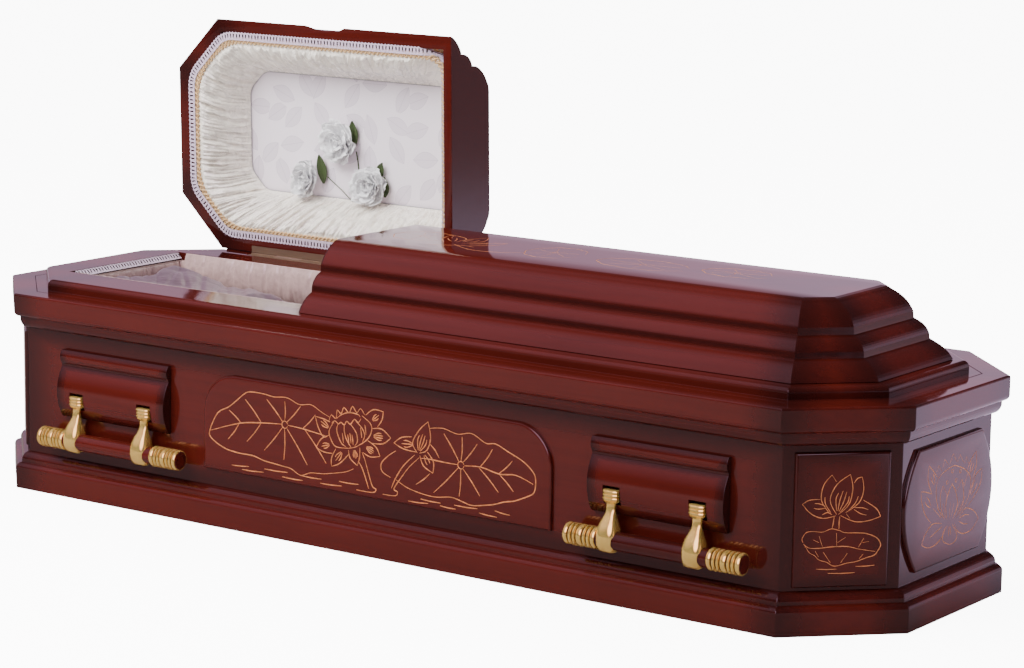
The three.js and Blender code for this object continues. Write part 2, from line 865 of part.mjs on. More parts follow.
function armSideView() {
  const eye = barRadius + eyeWall;
  const view = new THREE.Shape();
  const toRad = THREE.MathUtils.degToRad;
  view.absarc(pivotOffset, pivotHeight, headRadius, toRad(-70), toRad(-110), false);
  view.lineTo(pivotOffset - 0.3 * armNeck, pivotHeight - 2.2 * headRadius);
  view.absarc(barOffset, barHeight, eye, toRad(125), toRad(65), false);
  view.lineTo(pivotOffset + armNeck, pivotHeight - 2.2 * headRadius);
  view.closePath();
  return view;
}

function swingArm(centre) {
  const geometry = drawnAcross(armSideView(), 1);
  const position = geometry.attributes.position;
  for (let i = 0; i < position.count; i += 1) {
    position.setX(i, position.getX(i) * armWidthAt(position.getZ(i)));
  }
  const bore = new THREE.CylinderGeometry(
    barRadius + fitGap, barRadius + fitGap, 2 * bellyWidth, barSides);
  bore.rotateZ(Math.PI / 2);
  bore.translate(0, barOffset, barHeight);
  return toSolid(geometry).subtract(toSolid(bore)).translate([centre, 0, 0]);
}

// The wooden bar with a brass ferrule over each end, as one turned piece. A ferrule has a
// collar at either end and is slimmer between them.
function handleBar() {
  const end = barLength / 2;
  const inner = end - ferruleLength;
  const slim = ferruleRadius - ferruleWaist;
  const half = [
    [barRadius, inner],
    [ferruleRadius, inner],
    [ferruleRadius, inner + ferruleCollar],
    [slim, inner + ferruleCollar],
    [slim, end - ferruleCollar],
    [ferruleRadius, end - ferruleCollar],
    [ferruleRadius, end],
    [0, end],
  ];
  const mirrored = half.map(([radius, along]) => [radius, -along]).reverse();
  const points = [...mirrored, ...half].map(([radius, along]) => new THREE.Vector2(radius, along));
  const geometry = new THREE.LatheGeometry(points, barSides);
  geometry.rotateZ(Math.PI / 2);
  geometry.translate(0, barOffset, barHeight);
  return toSolid(geometry);
}

function buildHandles() {
  const wallFace = halfWidth - wallInset;
  for (const [sideName, turn, y] of [["front", Math.PI, -wallFace], ["back", 0, wallFace]]) {
    for (const [endName, x] of [["head", -handleSpacing / 2], ["foot", handleSpacing / 2]]) {
      const place = new THREE.Group();
      place.position.set(x, y, 0);
      place.rotation.z = turn;
      casket.add(place);
      const name = `${sideName}_${endName}`;
      addPiece(`handle_block_${name}`, toGeometry(handleBlock()), lacquer, place);
      addPiece(`handle_arm_${name}_1`, toGeometry(swingArm(-armSpacing / 2)), brass, place);
      addPiece(`handle_arm_${name}_2`, toGeometry(swingArm(armSpacing / 2)), brass, place);
      addPiece(`handle_bar_${name}`, toGeometry(handleBar()), darkLacquer, place);
    }
  }
}

// Soft pieces, plain solids of their size and place

// The box lining hugs the floor, the walls, the underside of the top boards and the
// edges of the opening
function boxCavity(margin, top) {
  const inset = wallInner + fitGap + margin;
  const low = floorThickness + fitGap + margin;
  const high = rimBottom - fitGap - margin;
  const halfX = openingLength / 2 - fitGap - margin;
  const halfY = openingWidth / 2 - fitGap - margin;
  const room = planSolid([[null, low], [inset, low], [inset, high], [null, high]]);
  const mouth = boxSolid([-halfX, -halfY, low + 1], [halfX, halfY, top]);
  return room.add(mouth);
}

function buildBedding() {
  const lining = boxCavity(0, frameTop - 2).subtract(boxCavity(boxLiningThickness, farAway));
  addPiece("box_lining", toGeometry(lining), satin);
  const inset = wallInner + boxLiningThickness + mattressGap;
  const low = floorThickness + boxLiningThickness + 2 * fitGap;
  const mattress = planSolid([
    [null, low], [inset, low], [inset, mattressTop], [null, mattressTop]]);
  addPiece("mattress", toGeometry(mattress), beddingSatin);
  const headX = -openingLength / 2 + boxLiningThickness + 6;
  const side = new THREE.Shape();
  side.moveTo(headX, mattressTop + fitGap);
  side.lineTo(headX + pillowLength, mattressTop + fitGap);
  side.lineTo(headX + pillowLength, pillowTopFoot);
  side.quadraticCurveTo(headX + 0.4 * pillowLength, pillowTopHead, headX + 20, pillowTopHead);
  side.lineTo(headX, pillowTopHead - 30);
  const pillow = new THREE.ExtrudeGeometry(side, {
    depth: pillowWidth,
    bevelEnabled: false,
    curveSegments: roundSteps,
  });
  pillow.rotateX(Math.PI / 2);
  pillow.translate(0, pillowWidth / 2, 0);
  addPiece("pillow", pillow, beddingSatin);
}

buildFloor();
buildWalls();
buildMoulding("base_moulding", baseSection());
buildMoulding("rim_moulding", rimSection());
buildTopBoards();
buildLids();
buildPanels();
buildHandles();
buildBedding();

export default casket;
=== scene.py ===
import json
import math
from functools import partial
from itertools import product

import bmesh
import bpy
from mathutils import Matrix, Vector, noise
from mathutils.geometry import interpolate_bezier


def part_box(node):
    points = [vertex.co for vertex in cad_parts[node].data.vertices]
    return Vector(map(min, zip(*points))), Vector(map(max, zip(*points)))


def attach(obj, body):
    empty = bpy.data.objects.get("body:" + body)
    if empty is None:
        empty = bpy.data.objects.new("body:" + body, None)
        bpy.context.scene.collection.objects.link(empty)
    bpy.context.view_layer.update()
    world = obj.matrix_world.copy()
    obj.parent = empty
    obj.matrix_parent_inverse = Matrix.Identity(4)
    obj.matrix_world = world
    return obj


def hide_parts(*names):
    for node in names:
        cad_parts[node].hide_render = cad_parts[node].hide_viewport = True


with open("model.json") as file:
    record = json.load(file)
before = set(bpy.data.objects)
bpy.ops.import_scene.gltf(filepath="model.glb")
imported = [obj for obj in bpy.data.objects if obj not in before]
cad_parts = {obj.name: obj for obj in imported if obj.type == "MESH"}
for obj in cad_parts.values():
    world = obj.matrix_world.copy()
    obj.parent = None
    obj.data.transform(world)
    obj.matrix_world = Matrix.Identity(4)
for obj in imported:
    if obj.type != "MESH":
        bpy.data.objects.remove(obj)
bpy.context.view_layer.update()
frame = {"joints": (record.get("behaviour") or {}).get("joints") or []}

bl_info = {
    "name": "Lacquered Casket",
    "version": (1, 0, 0),
    "blender": (4, 5, 0),
    "location": "3D View > Sidebar > Casket",
    "description": "Builds the lacquer, carving, fittings and satin of a wooden casket",
    "category": "Object",
}

MM = 0.001


def side_of(node, corner, axis):
    """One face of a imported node, in whole tenths of a millimetre"""
    return round(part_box(node)[corner][axis] / MM, 1)


# Places in millimetres, read from the frame where it holds them
HALF_LENGTH = side_of("rim_moulding_foot", 1, 0)
HALF_WIDTH = -side_of("rim_moulding_front", 0, 1)
CORNER_LEG = 165.0
PANEL_RISE = 7
INSET_SHARE = 2 - math.sqrt(2)
MITRE_SLOPE = 1 - INSET_SHARE

FLOOR_TOP = side_of("floor_board", 1, 2)
WALL_FACE = 28.0
WALL_INNER = 52.0
RIM_TOP = side_of("rim_moulding_front", 1, 2)
RIM_BOTTOM = RIM_TOP - 46
RIM_STRIP = 46.0
SEAM = 0.6
BASE_HEIGHT = side_of("base_moulding_front", 1, 2)
FRAME_INSET = 68.0
FRAME_TOP = side_of("top_board_front", 1, 2)
OPENING_HALF_LENGTH = 895.0
OPENING_HALF_WIDTH = 168.0

LID_INSET = 94.0
LID_FLOOR = side_of("foot_lid", 0, 2)
LID_HEIGHT = side_of("foot_lid", 1, 2) - LID_FLOOR
SPLIT = -233.0
SPLIT_GAP = 2.0
SPLIT_WALL = 20.0
LID_RIM = 28.0
LID_ROOF = 20.0
PLATEAU = 122.0
ROOF_SETBACK = 8.0
LINING_DEPTH = 96.0
LID_HALF_WIDTH = HALF_WIDTH - LID_INSET

HINGE = next(j for j in frame["joints"] if j["name"] == "head_lid_hinge")
OPEN_ANGLE = -HINGE["range_deg"][0]
HINGE_Y = HINGE["pos_m"][1] / MM
HINGE_Z = HINGE["pos_m"][2] / MM

HANDLES = {
    "front_head": (-1, -1),
    "front_foot": (1, -1),
    "back_head": (-1, 1),
    "back_foot": (1, 1),
}
WALL_Y = HALF_WIDTH - WALL_FACE
BLOCK_BOTTOM, BLOCK_WAIST, BLOCK_TOP = 160, 262.0, 294
ARM_X = 88.5
HANDLE_X = (side_of("handle_bar_front_foot", 0, 0) + side_of("handle_bar_front_foot", 1, 0)) / 2
BAR_OUT = (side_of("handle_bar_back_foot", 0, 1) + side_of("handle_bar_back_foot", 1, 1)) / 2 - WALL_Y
BAR_HEIGHT = (side_of("handle_bar_front_foot", 0, 2) + side_of("handle_bar_front_foot", 1, 2)) / 2
SWING = next(j for j in frame["joints"] if j["name"] == "back_foot_handle_swing")
PIVOT_OUT = SWING["pos_m"][1] / MM - WALL_Y
PIVOT_HEIGHT = SWING["pos_m"][2] / MM
MATTRESS_TOP = side_of("mattress", 1, 2)


def linear(code):
    """An sRGB hex colour as the linear values that the shaders take"""
    parts = [int(code[i:i + 2], 16) / 255 for i in (1, 3, 5)]
    return tuple(c / 12.92 if c <= 0.04045 else ((c + 0.055) / 1.055) ** 2.4 for c in parts)


def length(name, text, value):
    """A size in millimetres that the user can change"""
    return bpy.props.FloatProperty(
        name=name, description=text, default=value * MM, min=0, unit="LENGTH", precision=4)


def colour(name, text, code):
    return bpy.props.FloatVectorProperty(
        name=name, description=text, default=linear(code), min=0, max=1, size=3, subtype="COLOR")


class CasketSizes(bpy.types.PropertyGroup):
    arris: length("Arris", "Rounding of the sharp wooden edges", 0.8)
    groove: length("Groove", "Width of a gilded groove", 2.3)
    panel_bevel: length("Panel bevel", "Width of the slope round a carved panel", 5)
    fine_groove: length("Fine groove", "Width of a groove on the short panels", 1.6)
    pleat: length("Pleat", "Distance between two folds of the shirred satin", 13)
    pleat_depth: length("Pleat depth", "How far a fold of the satin stands out", 9)
    puff: length("Puff", "How far the lid's satin border swells", 20)
    braid: length("Braid", "Width of the gold braid", 16)
    lace: length("Lace", "Width of the lace strip", 17.5)
    cord: length("Cord", "Thickness of the cord round the centre panel", 1.4)
    leaf_print: length("Leaf print", "Distance between printed leaves on the centre panel", 66)
    bed_cell: length("Bed cell", "Cell of the cloth simulation of the mattress", 13)
    pillow_cell: length("Pillow cell", "Cell of the cloth simulation of the pillow", 6)


class CasketColours(bpy.types.PropertyGroup):
    lacquer: colour("Lacquer", "Red of the lacquered faces", "#44120c")
    # Darker red for the grain and the random clouds, and for the painted shade in the creases, at the joints,
    # on the lid's cut end and at the block ends
    lacquer_dark_and_shade: colour("Lacquer dark and shade", "Darker red sprayed along the edges", "#1d0807")
    gilding: colour("Gilding", "Gold paint in the grooves", "#d68c58")
    brass: colour("Brass", "Polished handle fittings", "#ffda7e")
    hinge_brass: colour("Hinge brass", "Plated hinge leaves", "#c2ab90")
    satin: colour("Satin", "Shirred lining", "#fff7ea")
    # Lilac satin, its own colour, painted darker for the shade inside the box
    shaded_pillow_satin: colour("Shaded pillow satin", "Pillow and mattress", "#5f4856")
    # Cream satin painted darker and rosier: painted shade inside the box and painted red light bounced from
    # the wood
    shaded_box_satin: colour("Shaded box satin", "Lining inside the box", "#b39490")
    panel_cloth: colour("Panel cloth", "Centre panel of the lid", "#efe4ec")
    leaf_ink: colour("Leaf ink", "Faint print on the centre panel", "#bfb0c0")
    braid: colour("Braid", "Gold braid", "#e6bf8a")
    # White lace, painted lilac grey for the shade it lies in
    lace: colour("Lace", "Lace strip", "#c9b4c8")
    petal: colour("Petal", "Silk petals", "#fbfafc")
    leaf: colour("Leaf", "Silk leaves", "#3f4f2c")
    stage: colour("Stage", "Floor and backdrop", "#f4f2f4")


def sizes():
    return bpy.context.scene.casket_sizes


def colours():
    return bpy.context.scene.casket_colours


# Plan and profiles


def corner_at(index, inset, height):
    """Corner of the eight-sided plan, pushed in by inset. Corner 0 is at the front near the
    foot end, and the count goes round to the foot, the back and the head."""
    x = HALF_LENGTH - inset
    y = HALF_WIDTH - inset
    leg = CORNER_LEG - INSET_SHARE * inset
    corners = [
        (x - leg, -y), (x, leg - y), (x, y - leg), (x - leg, y),
        (leg - x, y), (-x, y - leg), (-x, leg - y), (leg - x, -y),
    ]
    return Vector((*corners[index % 8], height))


def arc(centre, radii, start, end, steps=8):
    """Points on a stretch of an ellipse, from one angle to another in degrees"""
    points = []
    for i in range(steps + 1):
        turn = math.radians(start + (end - start) * i / steps)
        points.append((centre[0] + radii[0] * math.cos(turn), centre[1] + radii[1] * math.sin(turn)))
    return points


def base_profile():
    face = WALL_FACE - 0.3
    return [
        (face, 0), (1.2, 0), (0, 1.2),
        *arc((11, 41), (11, 11), 180, 90),
        (12, 52.2),
        *arc((face, 56), (face - 12, BASE_HEIGHT - 56), 180, 90),
    ]


def rim_profile():
    face = WALL_FACE - 0.3
    return [
        (RIM_STRIP, RIM_TOP), (RIM_STRIP, RIM_BOTTOM), (face, RIM_BOTTOM),
        *arc((face, RIM_BOTTOM - 4), (face - 12, 20), 270, 180),
        (12, RIM_BOTTOM),
        *arc((11, RIM_BOTTOM + 11), (11, 11), 270, 180),
        *arc((4, RIM_TOP - 4), (4, 4), 180, 90, 4),
    ]


def bulge(start, end, swell, steps=10):
    """A slope between two points of a profile, swollen outwards"""
    a = Vector(start)
    along = Vector(end) - a
    out = Vector((-along.y, along.x)).normalized()
    points = []
    for i in range(steps + 1):
        share = i / steps
        points.append(tuple(a + along * share + out * 4 * swell * share * (1 - share)))
    return points


def lid_profile():
    """Outside of a lid as (inset, height): three swollen steps under a flat top"""
    steps = [
        bulge((0.8, 0.8), (40, 35), 5), bulge((41, 46), (67, 71), 4.6), bulge((68, 84), (104, 121.5), 5),
    ]
    points = [(2.5, 0)]
    for step in steps:
        points += step
    points += [(108, 124.6), (114, 126.6), (PLATEAU, LID_HEIGHT)]
    return [(LID_INSET + inset, LID_FLOOR + height) for inset, height in points]


# Meshes


def positions(bm, ring, mark):
    """First ring of a loft: its vertices, each marked with its place in the ring"""
    verts = []
    for i, point in enumerate(ring):
        vert = bm.verts.new(point)
        vert[mark] = i
        verts.append(vert)
    return verts


def loft(bm, rings, ring_closed=True, path_closed=False, capped=True, slot=0):
    """Extrudes the first ring of points through all the others"""
    mark = bm.verts.layers.int.get("ring") or bm.verts.layers.int.new("ring")
    first = positions(bm, rings[0], mark)
    count = len(first)
    edges = []
    for i in range(count if ring_closed else count - 1):
        edges.append(bm.edges.new((first[i], first[(i + 1) % count])))
    start = edges
    made = list(first)
    faces = []
    stations = rings[1:] + ([rings[0]] if path_closed else [])
    for ring in stations:
        out = bmesh.ops.extrude_edge_only(bm, edges=edges)["geom"]
        edges = [e for e in out if isinstance(e, bmesh.types.BMEdge) and e.is_boundary]
        faces += [f for f in out if isinstance(f, bmesh.types.BMFace)]
        new = [v for v in out if isinstance(v, bmesh.types.BMVert)]
        made += new
        ends = set(new)
        edges = [e for e in edges if e.verts[0] in ends and e.verts[1] in ends]
        for vert in new:
            vert.co = ring[vert[mark]]
    if path_closed:
        bmesh.ops.remove_doubles(bm, verts=made, dist=1e-5)
    elif capped and ring_closed:
        caps = bmesh.ops.holes_fill(bm, edges=start + edges, sides=0)["faces"]
        faces += caps
    for face in faces:
        if face.is_valid:
            face.material_index = slot
    return made


def outward(bm):
    bmesh.ops.remove_doubles(bm, verts=bm.verts, dist=1e-4)
    bmesh.ops.recalc_face_normals(bm, faces=bm.faces)


def on_mitre(co):
    """True on the lines where two sides of the box meet"""
    x, y = abs(co.x), abs(co.y)
    first = x - (HALF_LENGTH - CORNER_LEG) - MITRE_SLOPE * (y - HALF_WIDTH)
    second = y - (HALF_WIDTH - CORNER_LEG) - MITRE_SLOPE * (x - HALF_LENGTH)
    return min(abs(first), abs(second)) < 0.05


def shade(bm, angle=30, mitres=False):
    """Smooth faces with sharp edges where they turn by more than the angle"""
    for face in bm.faces:
        face.smooth = True
    limit = math.radians(angle)
    for edge in bm.edges:
        if len(edge.link_faces) != 2:
            continue
        turn = edge.link_faces[0].normal.angle(edge.link_faces[1].normal, 0)
        joint = mitres and on_mitre(edge.verts[0].co) and on_mitre(edge.verts[1].co)
        edge.smooth = not (turn > limit or (joint and turn > 0.02))


def ring_piece(profile):
    """A moulding all the way round the box"""
    bm = bmesh.new()
    rings = [[corner_at(i, *point) for point in profile] for i in range(8)]
    loft(bm, rings, path_closed=True)
    outward(bm)
    shade(bm, mitres=True)
    return bm


def plan_solid(profile):
    """A closed solid over the plan, from its underside to its top"""
    bm = bmesh.new()
    loft(bm, [[corner_at(i, *point) for i in range(8)] for point in profile])
    outward(bm)
    return bm


def block(bm, low, high, slot=0):
    """A box between two corners"""
    size = Vector(high) - Vector(low)
    middle = (Vector(high) + Vector(low)) / 2
    out = bmesh.ops.create_cube(
        bm, size=1, matrix=Matrix.Translation(middle) @ Matrix.Diagonal((*size, 1)))
    for face in {f for v in out["verts"] for f in v.link_faces}:
        face.material_index = slot


def as_mesh(bm, name):
    mesh = bpy.data.meshes.new(name)
    bm.to_mesh(mesh)
    bm.free()
    return mesh


def cut(bm, cutter):
    """Takes one closed shape out of another. The cut faces keep the cutter's slot."""
    stock = bpy.data.objects.new("stock", as_mesh(bm, "stock"))
    tool = bpy.data.objects.new("tool", as_mesh(cutter, "tool"))
    for obj in (stock, tool):
        bpy.context.scene.collection.objects.link(obj)
        for name in ("face", "groove"):
            obj.data.materials.append(bpy.data.materials.get(name) or bpy.data.materials.new(name))
    modifier = stock.modifiers.new("cut", "BOOLEAN")
    modifier.operation = "DIFFERENCE"
    modifier.solver = "MANIFOLD"
    modifier.object = tool
    graph = bpy.context.evaluated_depsgraph_get()
    result = bmesh.new()
    result.from_object(stock, graph)
    for obj in (stock, tool):
        mesh = obj.data
        bpy.data.objects.remove(obj)
        bpy.data.meshes.remove(mesh)
    if not result.faces:
        raise RuntimeError("A cut left nothing")
    return result


def finish_piece(name, bm, materials, body, replaces=(), turned=False):
    """Makes the named object from a bmesh in millimetres, gives it its materials and body and hides the parts
    it replaces
    """
    if turned:
        swing = swung()
        bmesh.ops.transform(bm, matrix=swing, verts=bm.verts)
    bmesh.ops.scale(bm, vec=(MM, MM, MM), verts=bm.verts)
    obj = bpy.data.objects.new(name, as_mesh(bm, name))
    bpy.context.scene.collection.objects.link(obj)
    for material in materials if isinstance(materials, (list, tuple)) else [materials]:
        obj.data.materials.append(material)
    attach(obj, body)
    if replaces:
        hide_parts(*replaces)
    return obj


def swung():
    """Turns the shut head lid back about its hinge, in millimetres"""
    at = Vector((0, HINGE_Y, HINGE_Z))
    turn = Matrix.Rotation(-math.radians(OPEN_ANGLE), 4, "X")
    return Matrix.Translation(at) @ turn @ Matrix.Translation(-at)


def soften(obj, width, segments=2, angle=28):
    """Rounds the sharp edges of a wooden piece so that they catch the light"""
    bevel = obj.modifiers.new("arris", "BEVEL")
    bevel.width = width
    bevel.segments = segments
    bevel.limit_method = "ANGLE"
    bevel.angle_limit = math.radians(angle)
    bevel.harden_normals = True
    return bevel


# Materials


def fill(node, values):
    """Joins or sets a node's inputs, by name or number"""
    for key, value in values.items():
        if isinstance(value, bpy.types.NodeSocket):
            node.id_data.links.new(value, node.inputs[key])
        else:
            node.inputs[key].default_value = value


def add_node(tree, kind, *values, output=0, **settings):
    """Adds a node with its settings, fills its inputs, in order or from one dict, and gives
    one of its outputs. Ranges are eased at both ends."""
    node = tree.nodes.new("ShaderNode" + kind)
    if kind == "MapRange":
        node.interpolation_type = "SMOOTHSTEP"
    for name, value in settings.items():
        setattr(node, name, value)
    named = values and isinstance(values[0], dict)
    fill(node, values[0] if named else dict(enumerate(values)))
    return node.outputs[output] if node.outputs else node


def new_material(name):
    material = bpy.data.materials.new(name)
    material.use_nodes = True
    tree = material.node_tree
    tree.nodes.clear()
    add = partial(add_node, tree)
    shader = add("BsdfPrincipled").node
    add("OutputMaterial", {"Surface": shader.outputs[0]})
    return material, add, shader


def rgba(value):
    return (*value[:3], 1)


def object_point(add, swung_lid=False):
    """Object coordinates in metres. On the open lid they are turned back to the shut lid."""
    point = add("TexCoord", output="Object")
    if not swung_lid:
        return point
    back = swung().inverted()
    return add("Mapping", {"Vector": point, "Location": back.translation * MM, "Rotation": back.to_euler()})


def near_joints(add, x, y, spread):
    """How close a point is to a joint line between two sides of the box: 1 on it, 0 away"""
    run = math.hypot(1, MITRE_SLOPE)
    x_end = (HALF_LENGTH - CORNER_LEG - MITRE_SLOPE * HALF_WIDTH) * MM
    y_end = (HALF_WIDTH - CORNER_LEG - MITRE_SLOPE * HALF_LENGTH) * MM
    first = add("Math", y, -MITRE_SLOPE, x, operation="MULTIPLY_ADD")
    first = add("Math", add("Math", first, x_end, operation="SUBTRACT"), operation="ABSOLUTE")
    second = add("Math", x, -MITRE_SLOPE, y, operation="MULTIPLY_ADD")
    second = add("Math", add("Math", second, y_end, operation="SUBTRACT"), operation="ABSOLUTE")
    near = add("Math", add("Math", first, second, operation="MINIMUM"), run, operation="DIVIDE")
    return add("MapRange", near, 0, spread, 1, 0)


def near_height(add, z, height, spread):
    """How close a point is to a height in millimetres: 1 at it, 0 away from it"""
    away = add("Math", add("Math", z, height * MM, operation="SUBTRACT"), operation="ABSOLUTE")
    return add("MapRange", away, 0, spread, 1, 0)


def lacquer(name, swung_lid=False, depth=1.0, shading="box"):
    """Polyester lacquer over stained hardwood, sprayed and buffed: a deep red with faint stretched
    grain, random darker clouds and one clear, nearly mirror-like surface. Painted shade darkens it
    in the creases, at the joints over sprayed toning, on the lid's cut end and at the block ends."""
    material, add, shader = new_material(name)
    tone = colours()
    point = object_point(add, swung_lid)
    parts = add("SeparateXYZ", point).node.outputs
    grain_place = add("Mapping", {"Vector": point, "Scale": (1.2, 26, 26)})
    grain = add("TexNoise", {"Vector": grain_place, "Scale": 3.0, "Detail": 4, "Roughness": 0.55})
    cloud = add("TexNoise", {"Vector": point, "Scale": 2.2, "Detail": 1})
    red = add("Mix", {0: add("MapRange", grain, 0.35, 0.75, 0, 0.22), 6: rgba(tone.lacquer),
        7: rgba(tone.lacquer_dark_and_shade)}, output=2, data_type="RGBA")
    red = add("Mix", {0: add("MapRange", cloud, 0.3, 0.8, 0, 0.2 * depth), 6: red,
        7: rgba(tone.lacquer_dark_and_shade)}, output=2, data_type="RGBA")
    if shading == "block":
        # Painted shade on the handle blocks: darker at both ends and along the bottom, the waist and the top
        middle = add("Math", add("Math", parts[0], operation="ABSOLUTE"), HANDLE_X * MM, operation="SUBTRACT")
        painted_shade = add("MapRange", add("Math", middle, operation="ABSOLUTE"), 0.112, 0.138)
        for height, spread in ((BLOCK_BOTTOM, 0.024), (BLOCK_WAIST, 0.012), (BLOCK_TOP, 0.016)):
            painted_shade = add("Math", painted_shade, near_height(add, parts[2], height, spread), operation="MAXIMUM")
        red = add("Mix", {0: add("Math", painted_shade, 0.85, operation="MULTIPLY"), 6: red,
            7: rgba(tone.lacquer_dark_and_shade)}, output=2, data_type="RGBA")
    if shading == "box":
        x = add("Math", parts[0], operation="ABSOLUTE")
        y = add("Math", parts[1], operation="ABSOLUTE")
        # Painted shade along the joints between the sides, on top of sprayed dark toning there
        painted_shade = near_joints(add, x, y, 0.085)
        # Painted shade in the creases at the base, under the rim and between the lid's steps
        shade_bands = ((84, 0.036), (318, 0.042), (LID_FLOOR + 43, 0.011), (LID_FLOOR + 78, 0.012))
        for height, spread in shade_bands:
            painted_shade = add("Math", painted_shade, near_height(add, parts[2], height, spread), operation="MAXIMUM")
        # Painted shade on the lid's cut end face
        split = add("Math", add("Math", parts[0], SPLIT * MM, operation="SUBTRACT"), operation="ABSOLUTE")
        above = add("MapRange", parts[2], (LID_FLOOR - 2) * MM, (LID_FLOOR + 2) * MM)
        cut_face_shade = add("Math", add("MapRange", split, 0.001, 0.006, 0.9, 0), above, operation="MULTIPLY")
        painted_shade = add("Math", painted_shade, cut_face_shade, operation="MAXIMUM")
        red = add("Mix", {0: add("Math", painted_shade, 0.8, operation="MULTIPLY"), 6: red,
            7: rgba(tone.lacquer_dark_and_shade)}, output=2, data_type="RGBA")
    # The film lies in a very slight swell, a few centimetres from crest to crest
    swell = add("TexNoise", {"Vector": point, "Scale": 28, "Detail": 1})
    bump = add("Bump", {"Height": swell, "Strength": 0.04, "Distance": 0.002})
    fill(shader, {"Base Color": red, "Roughness": 0.07, "Normal": bump})
    return material


def gilding(name):
    """Gold size paint laid in the V grooves, brushed by hand: satin, a little uneven"""
    material, add, shader = new_material(name)
    point = object_point(add)
    spots = add("TexNoise", {"Vector": point, "Scale": 120, "Detail": 2})
    gold = rgba(colours().gilding)
    worn = rgba([c * 0.62 for c in colours().gilding])
    share = add("MapRange", spots, 0.35, 0.7)
    colour = add("Mix", {0: share, 6: gold, 7: worn}, output=2, data_type="RGBA")
    fill(shader, {"Base Color": colour, "Metallic": 0.25, "Roughness": 0.42})
    return material


def polished_brass(name):
    """Cast brass, buffed and clear lacquered: warm yellow mirror with soft casting waves"""
    material, add, shader = new_material(name)
    point = object_point(add)
    cloud = add("TexNoise", {"Vector": point, "Scale": 60, "Detail": 2})
    brass = rgba(colours().brass)
    deep = rgba([c * f for c, f in zip(colours().brass, (0.9, 0.84, 0.74))])
    bump = add("Bump", {"Height": cloud, "Strength": 0.06, "Distance": 0.001})
    share = add("MapRange", cloud, 0.3, 0.8)
    colour = add("Mix", {0: share, 6: brass, 7: deep}, output=2, data_type="RGBA")
    fill(shader, {"Base Color": colour, "Roughness": add("MapRange", cloud, 0.2, 0.8, 0.08, 0.15),
        "Metallic": 0.82, "Normal": bump})
    return material


def groove_painted_shade(name):
    """Dark brown brass on the groove bottoms and in the bore: painted shade in the grooves"""
    material, add, shader = new_material(name)
    cloud = add("TexNoise", {"Vector": object_point(add), "Scale": 300})
    fill(shader, {"Base Color": add("Mix", {0: cloud, 6: rgba(linear("#6b4a26")),
        7: rgba(linear("#3a2614"))}, output=2, data_type="RGBA"), "Metallic": 0.7, "Roughness": 0.45})
    return material


def plated_hinge(name):
    """Rolled steel strip with a dull brass plate, drawn along its length"""
    material, add, shader = new_material(name)
    point = object_point(add)
    drawn = add("Mapping", {"Vector": point, "Scale": (1, 60, 60)})
    lines = add("TexNoise", {"Vector": drawn, "Scale": 30, "Detail": 3})
    plate = rgba(colours().hinge_brass)
    dull = rgba([c * 0.6 for c in colours().hinge_brass])
    fill(shader, {"Base Color": add("Mix", {0: lines, 6: plate, 7: dull}, output=2, data_type="RGBA"),
        "Metallic": 0.9, "Roughness": 0.4})
    return material


def satin(name, base, rough=0.2, sheen=0.1, crease=0.35, crease_scale=60, coat=0.8):
    """Polyester satin: long floats give a broad soft highlight across the folds, with small
    creases in between. The weave is 0.3 mm, drawn at 1 mm so that it shows at all."""
    material, add, shader = new_material(name)
    point = object_point(add)
    weave = add("TexNoise", {"Vector": point, "Scale": 950, "Detail": 0})
    fold = add("TexNoise", {"Vector": point, "Scale": crease_scale, "Detail": 3, "Distortion": 1.4})
    painted_hollow_shade = rgba([c * 0.8 for c in base])
    small = add("Bump", {"Height": weave, "Strength": 0.08, "Distance": 0.0006})
    large = add("Bump", {"Height": fold, "Strength": crease, "Distance": 0.012, "Normal": small})
    # Painted shade: the colour darkens in the hollows of the crease bump
    share = add("MapRange", fold, 0.3, 0.72)
    colour = add("Mix", {0: share, 6: painted_hollow_shade, 7: rgba(base)}, output=2, data_type="RGBA")
    fill(shader, {"Base Color": colour, "Roughness": rough, "Specular IOR Level": 1.0, "IOR": 1.6,
        "Sheen Weight": sheen, "Sheen Roughness": 0.35, "Coat Weight": coat, "Coat Roughness": 0.12,
        "Normal": large})
    return material


